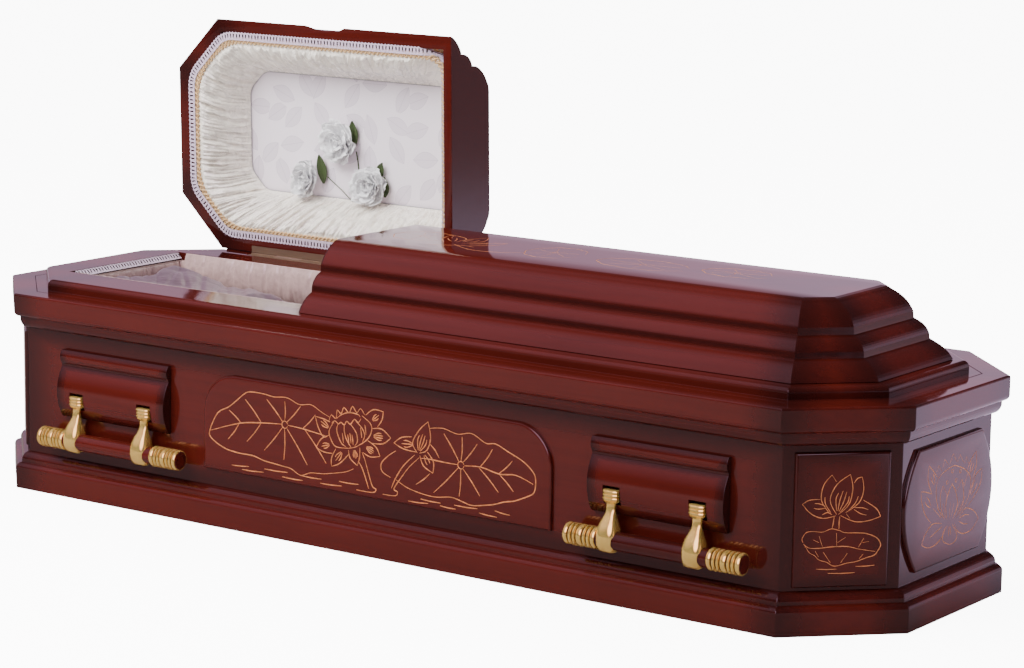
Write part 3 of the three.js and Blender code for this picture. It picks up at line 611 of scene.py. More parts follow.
def printed_cloth(name):
    """Plain polyester cloth with a faint print of scattered leaves, each in its own cell"""
    material, add, shader = new_material(name)
    tone = colours()
    pitch = 1 / sizes().leaf_print
    point = object_point(add, swung_lid=True)
    flat = add("Mapping", {"Vector": point, "Scale": (pitch, pitch, 0)})
    cells = add("TexVoronoi", {"Vector": flat, "Scale": 1.0, "Randomness": 0.75}, voronoi_dimensions="2D")
    away = add("VectorMath", flat, cells.node.outputs["Position"], operation="SUBTRACT")
    chance = add("SeparateXYZ", cells.node.outputs["Color"]).node.outputs
    turn = add("Math", chance[0], math.tau, operation="MULTIPLY")
    leaf = add("VectorRotate", {"Vector": away, "Angle": turn}, rotation_type="Z_AXIS")
    axes = add("SeparateXYZ", leaf).node.outputs
    along = add("Math", axes[0], 0.5, operation="DIVIDE")
    across = add("Math", axes[1], operation="ABSOLUTE")
    room = add("Math", 1.0, add("Math", along, along, operation="MULTIPLY"), operation="SUBTRACT")
    edge = add("Math", add("Math", room, 0.27, operation="MULTIPLY"), across, operation="SUBTRACT")
    inside = add("MapRange", edge, 0.0, 0.02)
    rim = add("Math", inside, add("MapRange", edge, 0.015, 0.04, 1, 0), operation="MULTIPLY")
    rib = add("Math", inside, add("MapRange", across, 0.004, 0.014, 1, 0), operation="MULTIPLY")
    wave = add("Math", across, -1.2, axes[0], operation="MULTIPLY_ADD")
    veins = add("Math", add("Math", add("Math", wave, 38.0, operation="MULTIPLY"), operation="SINE"),
        operation="ABSOLUTE")
    veins = add("Math", inside, add("MapRange", veins, 0.0, 0.2, 0.5, 0), operation="MULTIPLY")
    lines = add("Math", add("Math", rim, rib, operation="MAXIMUM"), veins, operation="MAXIMUM")
    pale = add("Math", inside, 0.38, operation="MULTIPLY")
    share = add("Math", add("Math", lines, 0.85, operation="MULTIPLY"), pale, operation="MAXIMUM")
    cloth = add("Mix", {0: share, 6: rgba(tone.panel_cloth), 7: rgba(tone.leaf_ink)}, output=2,
        data_type="RGBA")
    weave = add("TexNoise", {"Vector": point, "Scale": 900, "Detail": 0})
    bump = add("Bump", {"Height": weave, "Strength": 0.1, "Distance": 0.0006})
    fill(shader, {"Base Color": cloth, "Roughness": 0.62, "Sheen Weight": 0.2, "Normal": bump})
    return material


def thread(name, base, rough=0.6, metal=0.0, scale=420):
    """Twisted or knitted thread: many small rounded strands, so a fine bump and soft gloss"""
    material, add, shader = new_material(name)
    point = object_point(add)
    strands = add("TexNoise", {"Vector": point, "Scale": scale, "Detail": 2})
    painted_shade = rgba([c * 0.6 for c in base])
    bump = add("Bump", {"Height": strands, "Strength": 0.4, "Distance": 0.001})
    # Painted shade: the colour darkens in the hollows between the strands, where the bump is low
    share = add("MapRange", strands, 0.3, 0.65)
    colour = add("Mix", {0: share, 6: painted_shade, 7: rgba(base)}, output=2, data_type="RGBA")
    fill(shader, {"Base Color": colour, "Roughness": rough, "Metallic": metal, "Sheen Weight": 0.3,
        "Normal": bump})
    return material


def silk(name, base, through=0.25, rough=0.55):
    """Stiffened dyed silk, cut and hot pressed: matt, thin enough to glow a little"""
    material, add, shader = new_material(name)
    point = object_point(add)
    weave = add("TexNoise", {"Vector": point, "Scale": 260, "Detail": 2})
    painted_hollow_shade = rgba([c * 0.8 for c in base])
    bump = add("Bump", {"Height": weave, "Strength": 0.2, "Distance": 0.0008})
    # Painted shade: the colour darkens in the hollows of the weave bump
    share = add("MapRange", weave, 0.3, 0.7)
    colour = add("Mix", {0: share, 6: painted_hollow_shade, 7: rgba(base)}, output=2, data_type="RGBA")
    fill(shader, {"Base Color": colour, "Roughness": rough, "Subsurface Weight": through,
        "Subsurface Radius": (0.004, 0.004, 0.004), "Subsurface Scale": 1.0, "Normal": bump})
    return material


def shared(name, make, *args, **kwargs):
    """One material, made on first use"""
    return bpy.data.materials.get(name) or make(name, *args, **kwargs)


def red_lacquer():
    return shared("Shaded Red Lacquer", lacquer)


def dark_lacquer():
    return shared("Dark Red Lacquer", lacquer, depth=3.6, shading="plain")


def block_lacquer():
    return shared("Block Red Lacquer", lacquer, shading="block")


def cream_satin():
    return shared("Ivory Polyester Satin", satin, colours().satin)


# Drawings for the grooves, in millimetres on the face of a panel


def smooth_line(points, steps=5):
    """A line that bends smoothly through its points"""
    ends = [Vector((*p, 0)) for p in points]
    if len(ends) < 3:
        return [v.xy for v in ends]
    line = []
    for i in range(len(ends) - 1):
        before = ends[max(i - 1, 0)]
        after = ends[min(i + 2, len(ends) - 1)]
        handle_a = ends[i] + (ends[i + 1] - before) / 6
        handle_b = ends[i + 1] - (after - ends[i]) / 6
        piece = interpolate_bezier(ends[i], handle_a, handle_b, ends[i + 1], steps + 1)
        line += [v.xy for v in (piece if i == 0 else piece[1:])]
    return line


def blade(points, tip, veins=2):
    """A pointed petal: points from one side of its base over the tip to the other side, the
    place of the tip among them, and a few short veins from the base"""
    ends = [Vector(p) for p in points]
    strokes = [smooth_line(points[:tip + 1], 4), smooth_line(points[tip:], 4)]
    foot = (ends[0] + ends[-1]) / 2
    along = ends[tip] - foot
    aside = Vector((-along.y, along.x)) * 0.2
    for i in range(veins):
        out = 2 * (i + 0.5) / veins - 1
        reach = 0.62 - 0.16 * abs(out)
        strokes.append(smooth_line([
            foot + along * 0.08 + aside * out * 0.3,
            foot + along * 0.34 + aside * out,
            foot + along * reach + aside * out * 0.9], 3))
    return strokes


def rippled(points, ripple=1.5, waves=9):
    """A leaf's edge: a smooth line through the points with small waves on it"""
    line = smooth_line(points, 7)
    out = []
    count = len(line)
    for i, at in enumerate(line):
        ahead = line[min(i + 1, count - 1)] - line[max(i - 1, 0)]
        aside = Vector((-ahead.y, ahead.x)).normalized()
        out.append(at + aside * ripple * math.sin(math.tau * waves * i / count))
    return out


def rosette(centre, radius, steps=12):
    turns = [0.2 + 0.95 * math.tau * i / steps for i in range(steps + 1)]
    return [Vector(centre) + radius * Vector((math.cos(t), math.sin(t))) for t in turns]


def dashes(pairs):
    return [smooth_line([a, ((a[0] + b[0]) / 2, (a[1] + b[1]) / 2 - 0.8), b], 2) for a, b in pairs]


def side_rib(hub, knots, forks):
    """The long rib of a leaf, and the veins that branch from its knots"""
    strokes = [smooth_line([hub, *knots], 4)]
    for start, end in forks:
        bend = ((start[0] + end[0]) / 2 + 2, (start[1] + end[1]) / 2)
        strokes.append(smooth_line([start, bend, end], 3))
    return strokes


def long_panel_drawing(full=True):
    """Two floating leaves, an open lotus and a bud over water, u from the panel's middle"""
    leaf_left = [
        (-96, 140), (-119, 149), (-141, 157), (-169, 155), (-197, 163), (-228, 161), (-254, 164),
        (-283, 163), (-303, 158), (-341, 128), (-370, 111), (-390, 76), (-385, 61), (-352, 45),
        (-323, 41), (-283, 41), (-254, 34), (-220, 32), (-191, 29), (-166, 19), (-141, 28),
        (-107, 30), (-63, 40), (-39, 50),
    ]
    leaf_right = [
        (136, 150), (168, 154), (200, 149), (231, 153), (262, 141), (283, 142), (308, 133),
        (339, 122), (360, 108), (373, 93), (371, 68), (356, 56), (330, 44), (305, 39), (279, 29),
        (238, 22), (212, 25), (185, 29), (149, 25), (117, 26), (90, 32), (68, 40), (60, 43),
    ]
    leaf_right_near = [(48, 46), (29, 54), (26, 69), (41, 85), (60, 98)]
    strokes = [rippled(leaf_left, 0.6), rippled(leaf_right, 0.6), smooth_line(leaf_right_near)]
    hub = (-204, 111)
    strokes.append(rosette(hub, 7))
    strokes += side_rib((-212, 111), [(-260, 107), (-315, 99), (-386, 76)], [
        ((-262, 108), (-301, 147)), ((-312, 100), (-341, 121)),
        ((-316, 98), (-344, 64)), ((-262, 106), (-297, 66))])
    strokes += side_rib((-196, 111), [(-158, 109), (-106, 103)], [
        ((-160, 110), (-130, 140)), ((-155, 108), (-104, 51))])
    for end in ((-248, 154), (-204, 156), (-166, 151), (-254, 55), (-206, 43), (-149, 41)):
        away = (Vector(end) - Vector(hub)).normalized()
        start = Vector(hub) + away * 8
        strokes.append(smooth_line([start, (start + Vector(end)) / 2 + Vector((1.5, 0)), end], 3))
    hub = (208, 92)
    strokes.append(rosette(hub, 7))
    strokes += side_rib((200, 92), [(172, 92), (140, 93), (118, 92)], [((138, 66), (106, 41))])
    strokes += side_rib((216, 92), [(252, 95), (294, 88), (330, 91), (368, 80)], [
        ((250, 94), (278, 131)), ((293, 89), (322, 116)),
        ((249, 93), (292, 54)), ((294, 87), (325, 60))])
    for end in ((169, 145), (210, 145), (244, 136), (147, 32), (205, 34), (251, 41)):
        away = (Vector(end) - Vector(hub)).normalized()
        start = Vector(hub) + away * 8
        strokes.append(smooth_line([start, (start + Vector(end)) / 2 + Vector((1.5, 0)), end], 3))
    strokes += lotus_in_leaf() + bud_in_leaf(full)
    strokes += dashes([
        ((-335, 15), (-292, 18)), ((-309, 10), (-256, 12)), ((-254, 19), (-197, 20)),
        ((-210, 10), (-160, 10)), ((-166, 19), (-115, 19)), ((-118, 11), (-67, 13)),
        ((-73, 21), (-27, 22)), ((89, 8), (135, 10)), ((117, 16), (163, 15)),
        ((162, 10), (197, 9)), ((194, 16), (246, 17)), ((250, 10), (290, 8)), ((285, 19), (318, 16)),
    ])
    return strokes


def lotus_in_leaf():
    """The open flower: a cup of ribs under a ring of points, with petals all round"""
    strokes = [
        smooth_line([(-84, 135), (-97, 114), (-92, 97), (-80, 86), (-51, 87)], 5),
        smooth_line([(-20, 153), (0, 141), (3, 127), (-7, 110), (-32, 93), (-51, 87)], 5),
        smooth_line([(-75, 131), (-79, 117), (-69, 96), (-57, 89)], 4),
        smooth_line([(-61, 131), (-61, 117), (-55, 102), (-45, 90)], 4),
        smooth_line([(-47, 134), (-33, 119), (-30, 103), (-36, 94)], 4),
        smooth_line([(-36, 143), (-19, 129), (-13, 116), (-18, 104)], 4),
        smooth_line([(-79, 140), (-67, 149), (-49, 155), (-29, 154), (-24, 150)], 4),
    ]
    front_tips = [(-91, 129), (-84, 135), (-75, 130), (-69, 134), (-61, 130), (-55, 138), (-47, 133),
                  (-37, 144), (-28, 139), (-22, 147)]
    back_tips = [(-98, 132), (-92, 145), (-81, 139), (-78, 156), (-69, 150), (-62, 163), (-50, 154),
                 (-42, 168), (-32, 157), (-23, 166), (-13, 155)]
    strokes += [smooth_line(front_tips, 3), smooth_line(back_tips, 3)]
    for foot in ((-63, 95), (-50, 94), (-45, 97), (-40, 95), (-20, 111), (-10, 118)):
        strokes.append(smooth_line([foot, (foot[0] - 1, foot[1] + 9), (foot[0] - 3, foot[1] + 19)], 3))
    strokes += blade([(-95, 131), (-111, 135), (-130, 137), (-124, 119), (-111, 101), (-97, 106)], 2, 3)
    strokes += blade([(-98, 105), (-116, 96), (-128, 78), (-109, 72), (-89, 72)], 2, 3)
    strokes += blade([(-81, 82), (-91, 63), (-91, 47), (-71, 56), (-49, 77)], 2, 3)
    strokes += blade([(-51, 84), (-47, 69), (-30, 57), (-25, 72), (-24, 92)], 2, 4)
    strokes += blade([(-6, 108), (14, 98), (23, 82), (1, 78), (-17, 84)], 2, 4)
    strokes += blade([(5, 132), (27, 134), (48, 120), (30, 107), (4, 104)], 2, 4)
    strokes += blade([(-11, 155), (7, 168), (30, 167), (27, 151), (17, 137)], 2, 3)
    strokes += [
        smooth_line([(-28, 66), (-19, 55), (-9, 33), (-3, 17)], 4),
        smooth_line([(-19, 84), (-12, 70), (-2, 42), (6, 23), (14, 19), (11, 13), (-1, 11), (-32, 11)], 4),
    ]
    return strokes


def bud_in_leaf(full):
    strokes = blade([(109, 101), (98, 118), (113, 144), (133, 162), (139, 133), (131, 109), (114, 101)], 3, 4)
    strokes += blade([(96, 129), (73, 125), (55, 112), (77, 104), (107, 102)], 2, 3)
    strokes += blade([(115, 97), (123, 79), (145, 68), (146, 89), (132, 106)], 2, 2)
    strokes.append(smooth_line([(137, 122), (149, 112), (159, 98)], 3))
    strokes += [
        smooth_line([(103, 96), (78, 73), (60, 47), (50, 26)], 4),
        smooth_line([(114, 93), (90, 71), (70, 46), (56, 26), (64, 21), (59, 13), (30, 12)], 4),
    ]
    return strokes if full else strokes[:-1]


def corner_panel_drawing():
    """A lotus on a short stem over a curled leaf"""
    strokes = blade([(-10, 127), (-22, 152), (-11, 179), (12, 196), (17, 172), (11, 144), (-7, 127)], 3, 4)
    strokes += blade([(-22, 129), (-37, 152), (-34, 178), (-20, 196), (-12, 184)], 3, 0)
    strokes += blade([(19, 181), (25, 189), (33, 191), (36, 168), (28, 146), (6, 130)], 2, 0)
    strokes += blade([(-39, 154), (-58, 153), (-70, 146), (-54, 129), (-33, 121), (-11, 125)], 2, 2)
    strokes += blade([(36, 151), (59, 136), (67, 122), (46, 115), (22, 114), (-3, 125)], 2, 2)
    strokes += [
        smooth_line([(-31, 158), (-30, 146), (-20, 130)], 3),
        smooth_line([(27, 158), (22, 146), (11, 134)], 3),
        smooth_line([(-35, 127), (-26, 131), (-18, 127)], 3),
        smooth_line([(13, 120), (7, 128)], 2),
        smooth_line([(-14, 124), (-15, 114), (-17, 103)], 3),
        smooth_line([(-4, 124), (-5, 114), (-5, 102)], 3),
    ]
    edge = [
        (-67, 80), (-68, 88), (-62, 97), (-46, 98), (-31, 98), (-17, 102), (-5, 100), (4, 95),
        (23, 95), (43, 92), (61, 86), (68, 74), (66, 64), (59, 56), (48, 51), (31, 46), (14, 42),
        (-1, 39), (-15, 38), (-26, 45), (-40, 50), (-47, 57), (-57, 64), (-66, 77),
    ]
    strokes.append(rippled(edge, 0.6, 11))
    strokes.append(smooth_line([(-64, 75), (-56, 70), (-39, 69), (-18, 71), (10, 71), (31, 66), (60, 61)], 4))
    ribs = [
        ((-39, 90), (-33, 72)), ((-49, 84), (-39, 79)), ((-9, 95), (-8, 73)), ((-7, 78), (7, 87)),
        ((39, 85), (30, 69)), ((37, 77), (48, 79)), ((-31, 62), (-18, 43)), ((11, 59), (0, 43)),
        ((39, 57), (32, 49)), ((-45, 64), (-39, 54)),
    ]
    strokes += [smooth_line(rib, 2) for rib in ribs]
    strokes += dashes([((-43, 33), (-7, 32)), ((26, 36), (59, 37)), ((-22, 25), (25, 25))])
    return strokes


def end_panel_drawing():
    """A full lotus in bloom: the seed head, a cup of petals before it and a fan behind"""
    strokes = [smooth_line([(-49, 151), (-40, 157), (-25, 162), (6, 167), (24, 164), (51, 154), (71, 140),
                            (77, 125), (73, 108), (61, 91), (35, 76)], 4)]
    for seed in ((-12, 141), (21, 139), (6, 158), (36, 153)):
        strokes.append(rosette(seed, 3.4, 7))
    tips = [(-49, 151), (-27, 138), (-9, 117), (6, 136), (24, 119), (42, 137), (53, 124), (64, 143)]
    strokes += [smooth_line([a, b]) for a, b in zip(tips[1:], tips[2:])]
    for left, tip, right in (((-53, 167), (-46, 177), (-34, 165)), ((-31, 170), (-24, 184), (-8, 171)),
                             ((-5, 173), (6, 189), (22, 172)), ((24, 171), (33, 183), (47, 166)),
                             ((50, 164), (57, 175), (66, 160))):
        strokes += [smooth_line([left, tip]), smooth_line([tip, right])]
    cup = ([(-49, 151), (-52, 131), (-44, 104), (-25, 80)], [(-27, 138), (-36, 122), (-33, 100), (-17, 76)],
           [(6, 136), (-10, 117), (-14, 97), (-8, 74)], [(6, 136), (23, 115), (29, 93), (13, 72)],
           [(42, 137), (51, 114), (49, 91), (25, 72)])
    strokes += [smooth_line(side, 4) for side in cup]
    strokes += blade([(-48, 156), (-63, 169), (-81, 183), (-84, 162), (-75, 142), (-66, 130)], 2, 2)
    strokes += blade([(-68, 131), (-86, 137), (-107, 142), (-103, 122), (-89, 98), (-66, 79)], 2, 2)
    strokes += blade([(62, 150), (74, 166), (93, 179), (96, 156), (89, 140), (80, 129)], 2, 2)
    strokes += blade([(79, 115), (94, 135), (118, 144), (116, 122), (100, 103), (69, 84)], 2, 2)
    for rib in ([(-22, 82), (-46, 102)], [(-13, 78), (-25, 106)], [(1, 76), (2, 104)], [(8, 77), (16, 99)],
                [(20, 78), (38, 100)], [(-31, 82), (-61, 104)], [(30, 80), (58, 104)]):
        strokes.append(smooth_line(rib))
    strokes += blade([(-27, 71), (-62, 76), (-89, 60), (-98, 46), (-76, 37), (-48, 37), (-23, 47),
        (-10, 63)], 3, 1)
    strokes += blade([(-7, 64), (-21, 51), (-18, 37), (5, 27), (25, 29), (31, 41), (12, 63)], 3, 2)
    strokes += blade([(40, 72), (62, 82), (95, 70), (111, 54), (88, 39), (57, 37), (33, 46), (21, 61)], 3, 2)
    return strokes


def lid_drawing():
    """The spray on the foot lid: u runs from its cut end and v across it"""
    strokes = []
    strokes += blade([(176, -20), (150, 10), (136, 58), (184, 40), (204, 2)], 2, 2)
    strokes += blade([(196, -8), (196, 36), (214, 74), (232, 36), (226, -4)], 2, 2)
    strokes += blade([(216, -16), (248, 16), (284, 40), (278, 4), (244, -30)], 2, 2)
    strokes.append(smooth_line([(168, -64), (200, -54), (232, -34), (262, -40)], 4))
    strokes.append(smooth_line([(210, -34), (270, -66), (330, -60), (372, -30)], 5))
    pads = (((104, 10), (60, 54)), ((418, 6), (58, 62)), ((620, -4), (96, 52)), ((806, 24), (70, 44)))
    for middle, reach in pads:
        edge = []
        for i in range(13):
            turn = 0.35 + (math.tau - 0.6) * i / 12
            edge.append((middle[0] + reach[0] * math.cos(turn), middle[1] + reach[1] * math.sin(turn)))
        strokes.append(rippled(edge, 1.6, 9))
        for i in range(7):
            turn = math.tau * (i + 0.3) / 7
            near = (middle[0] + 9 * math.cos(turn), middle[1] + 9 * math.sin(turn))
            far = (middle[0] + 0.8 * reach[0] * math.cos(turn), middle[1] + 0.8 * reach[1] * math.sin(turn))
            strokes.append(smooth_line([near, far], 2))
        strokes.append(rosette(middle, 6, 10))
    return strokes


# Grooves


def groove_tube(line, radius):
    """A thin six-sided tool along a line, slimmer at both ends, lying in the panel's face"""
    bm = bmesh.new()
    rings = []
    last = len(line) - 1
    for i, at in enumerate(line):
        ahead = line[min(i + 1, last)] - line[max(i - 1, 0)]
        aside = Vector((-ahead.y, ahead.x)).normalized()
        reach = radius * (0.45 + 0.55 * min(1.0, 2.5 * min(i, last - i) / max(last, 1)))
        ring = []
        for k in range(6):
            turn = math.tau * k / 6
            offset = aside * reach * math.cos(turn)
            ring.append(Vector((at.x + offset.x, at.y + offset.y, reach * math.sin(turn))))
        rings.append(ring)
    loft(bm, rings, slot=1)
    outward(bm)
    return bm


def apart(line, others, room=6.0):
    """The box round a line, or None where it meets the boxes of the others"""
    low = [min(p[k] for p in line) - room for k in (0, 1)]
    high = [max(p[k] for p in line) + room for k in (0, 1)]
    for other_low, other_high in others:
        if all(low[k] < other_high[k] and other_low[k] < high[k] for k in (0, 1)):
            return None
    return low, high


def engrave(bm, drawing, place, width):
    """Cuts the strokes of a drawing into a panel, those that don't meet in one go"""
    radius = width / MM / 2
    waiting = [line for line in drawing if len(line) > 1]
    while waiting:
        taken, boxes, left = [], [], []
        for line in waiting:
            box = apart(line, boxes)
            if box:
                taken.append(line)
                boxes.append(box)
            else:
                left.append(line)
        tool = bmesh.new()
        for line in taken:
            tube = groove_tube([Vector(p) for p in line], radius)
            mesh = as_mesh(tube, "tube")
            tool.from_mesh(mesh)
            bpy.data.meshes.remove(mesh)
        bmesh.ops.transform(tool, matrix=place, verts=tool.verts)
        bm = cut(bm, tool)
        waiting = left
    return bm


def raised_field(outline, thickness, bevel):
    """A flat panel with sloping edges: its outline set back as it rises"""
    bm = bmesh.new()
    verts = [bm.verts.new((*p, 0)) for p in outline]
    face = bm.faces.new(verts)
    out = bmesh.ops.extrude_face_region(bm, geom=[face])
    top = [g for g in out["geom"] if isinstance(g, bmesh.types.BMFace)][0]
    bmesh.ops.translate(bm, vec=(0, 0, thickness - bevel * 0.7), verts=top.verts)
    for step in range(4):
        share = (step + 1) / 4
        before = step / 4
        rise = bevel * 0.7 * (math.sin(share * math.pi / 2) - math.sin(before * math.pi / 2))
        inward = bevel * (math.cos(before * math.pi / 2) - math.cos(share * math.pi / 2))
        bmesh.ops.inset_region(bm, faces=[top], thickness=inward, depth=0, use_even_offset=True)
        bmesh.ops.translate(bm, vec=(0, 0, rise), verts=top.verts)
    outward(bm)
    return bm


def long_outline():
    half, height, radius = 406.0, 188.0, 78.0
    return [
        (-half, 0), (half, 0),
        *arc((half - radius, height - radius), (radius, radius), 0, 90, 16),
        *arc((radius - half, height - radius), (radius, radius), 90, 180, 16),
    ]


def end_outline():
    half, height, bow = 116.0, 216.0, 46.0
    right = [(half + 4 * bow * t * (1 - t), height * t) for t in [i / 16 for i in range(17)]]
    return right + [(-x, z) for x, z in reversed(right)]


def corner_outline():
    half, height = 83.0, 234.0
    return [(-half, 0), (half, 0), (half, height), (-half, height)]


def upright(side, bottom):
    """Stands a panel drawn flat on the middle of one side of the walls"""
    start = corner_at(side, WALL_FACE - 0.3, bottom)
    end = corner_at(side + 1, WALL_FACE - 0.3, bottom)
    along = (end - start).normalized()
    out = Vector((along.y, -along.x, 0))
    place = Matrix((
        (along.x, 0, out.x, 0), (along.y, 0, out.y, 0), (0, 1, 0, 0), (0, 0, 0, 1)))
    return Matrix.Translation((start + end) / 2) @ place


class OBJECT_OT_casket_woodwork(bpy.types.Operator):
    """Builds the walls, the base and rim mouldings and the top boards"""
    bl_idname = "object.casket_woodwork"
    bl_label = "Woodwork"

    def execute(self, context):
        arris = sizes().arris
        red = red_lacquer()
        names = ["corner_wall_front_foot", "foot_wall", "corner_wall_back_foot", "back_wall",
                 "corner_wall_back_head", "head_wall", "corner_wall_front_head", "front_wall"]
        top = RIM_BOTTOM - 0.3
        walls = [(WALL_FACE, 0), (WALL_FACE, top), (WALL_INNER, top), (WALL_INNER, 0)]
        obj = finish_piece("wall_boards", ring_piece(walls), red, "box", names)
        soften(obj, arris)
        for prefix, profile in (("base_moulding", base_profile()), ("rim_moulding", rim_profile())):
            nodes = [f"{prefix}_{side}" for side in ("foot", "back", "head", "front")]
            obj = finish_piece(f"{prefix}_round", ring_piece(profile), red, "box", nodes)
            soften(obj, arris)
        self.top_boards(red, arris)
        bpy.data.objects["floor_board"].data.materials[0] = dark_lacquer()
        return {"FINISHED"}

    def top_boards(self, red, arris):
        edge = RIM_STRIP + SEAM
        profile = [(edge, RIM_BOTTOM), (edge, RIM_TOP - 0.8), (edge + 0.8, RIM_TOP), (FRAME_INSET, RIM_TOP)]
        profile += arc((FRAME_INSET + 11, FRAME_TOP - 11), (11, 11), 180, 90)
        bm = plan_solid(profile)
        opening = bmesh.new()
        block(opening, (-OPENING_HALF_LENGTH, -OPENING_HALF_WIDTH, 300),
              (OPENING_HALF_LENGTH, OPENING_HALF_WIDTH, 500))
        bm = cut(bm, opening)
        for node in ("head_hinge_box_leaf", "foot_hinge_box_leaf"):
            low, high = (Vector(c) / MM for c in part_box(node))
            slot = bmesh.new()
            block(slot, (low.x - 0.3, low.y - 0.3, low.z - 0.6), (high.x + 0.3, high.y + 0.5, FRAME_TOP + 5))
            bm = cut(bm, slot)
        shade(bm, mitres=True)
        obj = finish_piece("top_boards_and_frame", bm, red, "box",
                           [f"top_board_{side}" for side in ("front", "back", "head", "foot")])
        soften(obj, arris)


def lid_shell(side):
    """Outside of one lid, shut, less the room inside it"""
    bm = plan_solid(lid_profile())
    cut_at = SPLIT + side * SPLIT_GAP / 2
    whole = bm.verts[:] + bm.edges[:] + bm.faces[:]
    bmesh.ops.bisect_plane(bm, geom=whole, plane_co=(cut_at, 0, 0), plane_no=(-side, 0, 0), clear_outer=True)
    bmesh.ops.holes_fill(bm, edges=[e for e in bm.edges if e.is_boundary], sides=0)
    outward(bm)
    low = LID_INSET + LID_RIM
    high = LID_INSET + PLATEAU - ROOF_SETBACK
    roof = LID_FLOOR + LID_HEIGHT - LID_ROOF
    room = plan_solid([(low - 2, LID_FLOOR - 60), (low, LID_FLOOR), (high, roof)])
    inner = cut_at + side * SPLIT_WALL
    whole = room.verts[:] + room.edges[:] + room.faces[:]
    bmesh.ops.bisect_plane(room, geom=whole, plane_co=(inner, 0, 0), plane_no=(-side, 0, 0), clear_outer=True)
    bmesh.ops.holes_fill(room, edges=[e for e in room.edges if e.is_boundary], sides=0)
    outward(room)
    return cut(bm, room)


def back_bead():
    """Low bead on the frame behind the hinges, on which an open lid comes to rest"""
    near = LID_HALF_WIDTH + 7.5
    section = ((near, FRAME_TOP - 0.1), (near, FRAME_TOP + 3.2), (near + 2, FRAME_TOP + 3.9),
        (near + 5, FRAME_TOP - 0.1))
    bm = bmesh.new()
    loft(bm, [[Vector((x, y, z)) for y, z in section] for x in (-836, 836)])
    outward(bm)
    return bm


class OBJECT_OT_casket_lids(bpy.types.Operator):
    """Builds the head lid, open, the foot lid with its engraved spray and the bead behind the hinges, and
    plates the hinges
    """
    bl_idname = "object.casket_lids"
    bl_label = "Lids"

    def execute(self, context):
        arris = sizes().arris
        for name, side in (("head", -1), ("foot", 1)):
            bm = lid_shell(side)
            low, high = (Vector(c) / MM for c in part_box(f"{name}_hinge_box_leaf"))
            bed = bmesh.new()
            block(bed, (low.x - 0.3, LID_HALF_WIDTH - 14.3, LID_FLOOR - 1),
                  (high.x + 0.3, LID_HALF_WIDTH + 1, LID_FLOOR + 2.3))
            bm = cut(bm, bed)
            if side < 0:
                bm = cut(bm, self.finger_pull((low.x + high.x) / 2 + 38))
                material = shared("Shaded Red Lacquer Lid", lacquer, swung_lid=True)
                shade(bm, mitres=True)
                obj = finish_piece("head_lid_shell", bm, material, "head_lid_body",
                                   ["head_lid"], turned=True)
            else:
                place = Matrix.Translation((SPLIT, 0, LID_FLOOR + LID_HEIGHT))
                bm = engrave(bm, lid_drawing(), place, sizes().fine_groove)
                shade(bm, mitres=True)
                obj = finish_piece("foot_lid_shell", bm, [red_lacquer(),
                    shared("Gold Groove Paint", gilding)], "foot_lid_body", ["foot_lid"])
            soften(obj, arris)
        plate = shared("Brass Plated Hinge Strip", plated_hinge)
        for end, leaf in product(("head", "foot"), ("lid", "box")):
            bpy.data.objects[f"{end}_hinge_{leaf}_leaf"].data.materials[0] = plate
        finish_piece("back_bead", back_bead(), dark_lacquer(), "box")
        return {"FINISHED"}

    def finger_pull(self, middle):
        """A scoop in the lower front edge with sloping ends"""
        front = -LID_HALF_WIDTH
        bm = bmesh.new()
        plan = [(middle - 69, front - 9), (middle - 50, front + 1), (middle - 36, front + 7.5),
            (middle, front + 9), (middle + 36, front + 7.5), (middle + 50, front + 1),
            (middle + 69, front - 9)]
        rings = [[Vector((x, y, LID_FLOOR + z)) for x, y in plan] for z in (-12, 12)]
        loft(bm, rings)
        outward(bm)
        return bm


class OBJECT_OT_casket_panels(bpy.types.Operator):
    """Builds the eight raised panels with their gilded carving"""
    bl_idname = "object.casket_panels"
    bl_label = "Carved panels"

    def execute(self, context):
        bevel = sizes().panel_bevel / MM
        wide, fine = sizes().groove, sizes().fine_groove
        kinds = {
            "front": (long_outline(), long_panel_drawing(), wide, 107, [("front", 7)]),
            "back": (long_outline(), long_panel_drawing(full=False), wide, 107, [("back", 3)]),
            "end": (end_outline(), end_panel_drawing(), fine, 91, [("foot", 1), ("head", 5)]),
            "corner": (corner_outline(), corner_panel_drawing(), fine, 80,
                       [("front_foot", 0), ("back_foot", 2), ("back_head", 4), ("front_head", 6)]),
        }
        for outline, drawing, width, bottom, places in kinds.values():
            flat = raised_field(outline, PANEL_RISE, bevel)
            flat = engrave(flat, drawing, Matrix.Translation((0, 0, PANEL_RISE)), width)
            shade(flat, angle=32)
            for name, side in places:
                bm = flat.copy()
                bmesh.ops.transform(bm, matrix=upright(side, bottom), verts=bm.verts)
                finish_piece(f"panel_{name}", bm, [red_lacquer(), shared("Gold Groove Paint", gilding)],
                             "box", [f"carved_panel_{name}"])
            flat.free()
        return {"FINISHED"}


# Handles: x across, y out from the wall, z up


def in_place(handle):
    x_side, y_side = HANDLES[handle]
    turn = Matrix.Rotation(math.pi if y_side < 0 else 0, 4, "Z")
    return Matrix.Translation((x_side * HANDLE_X, y_side * WALL_Y, 0)) @ turn


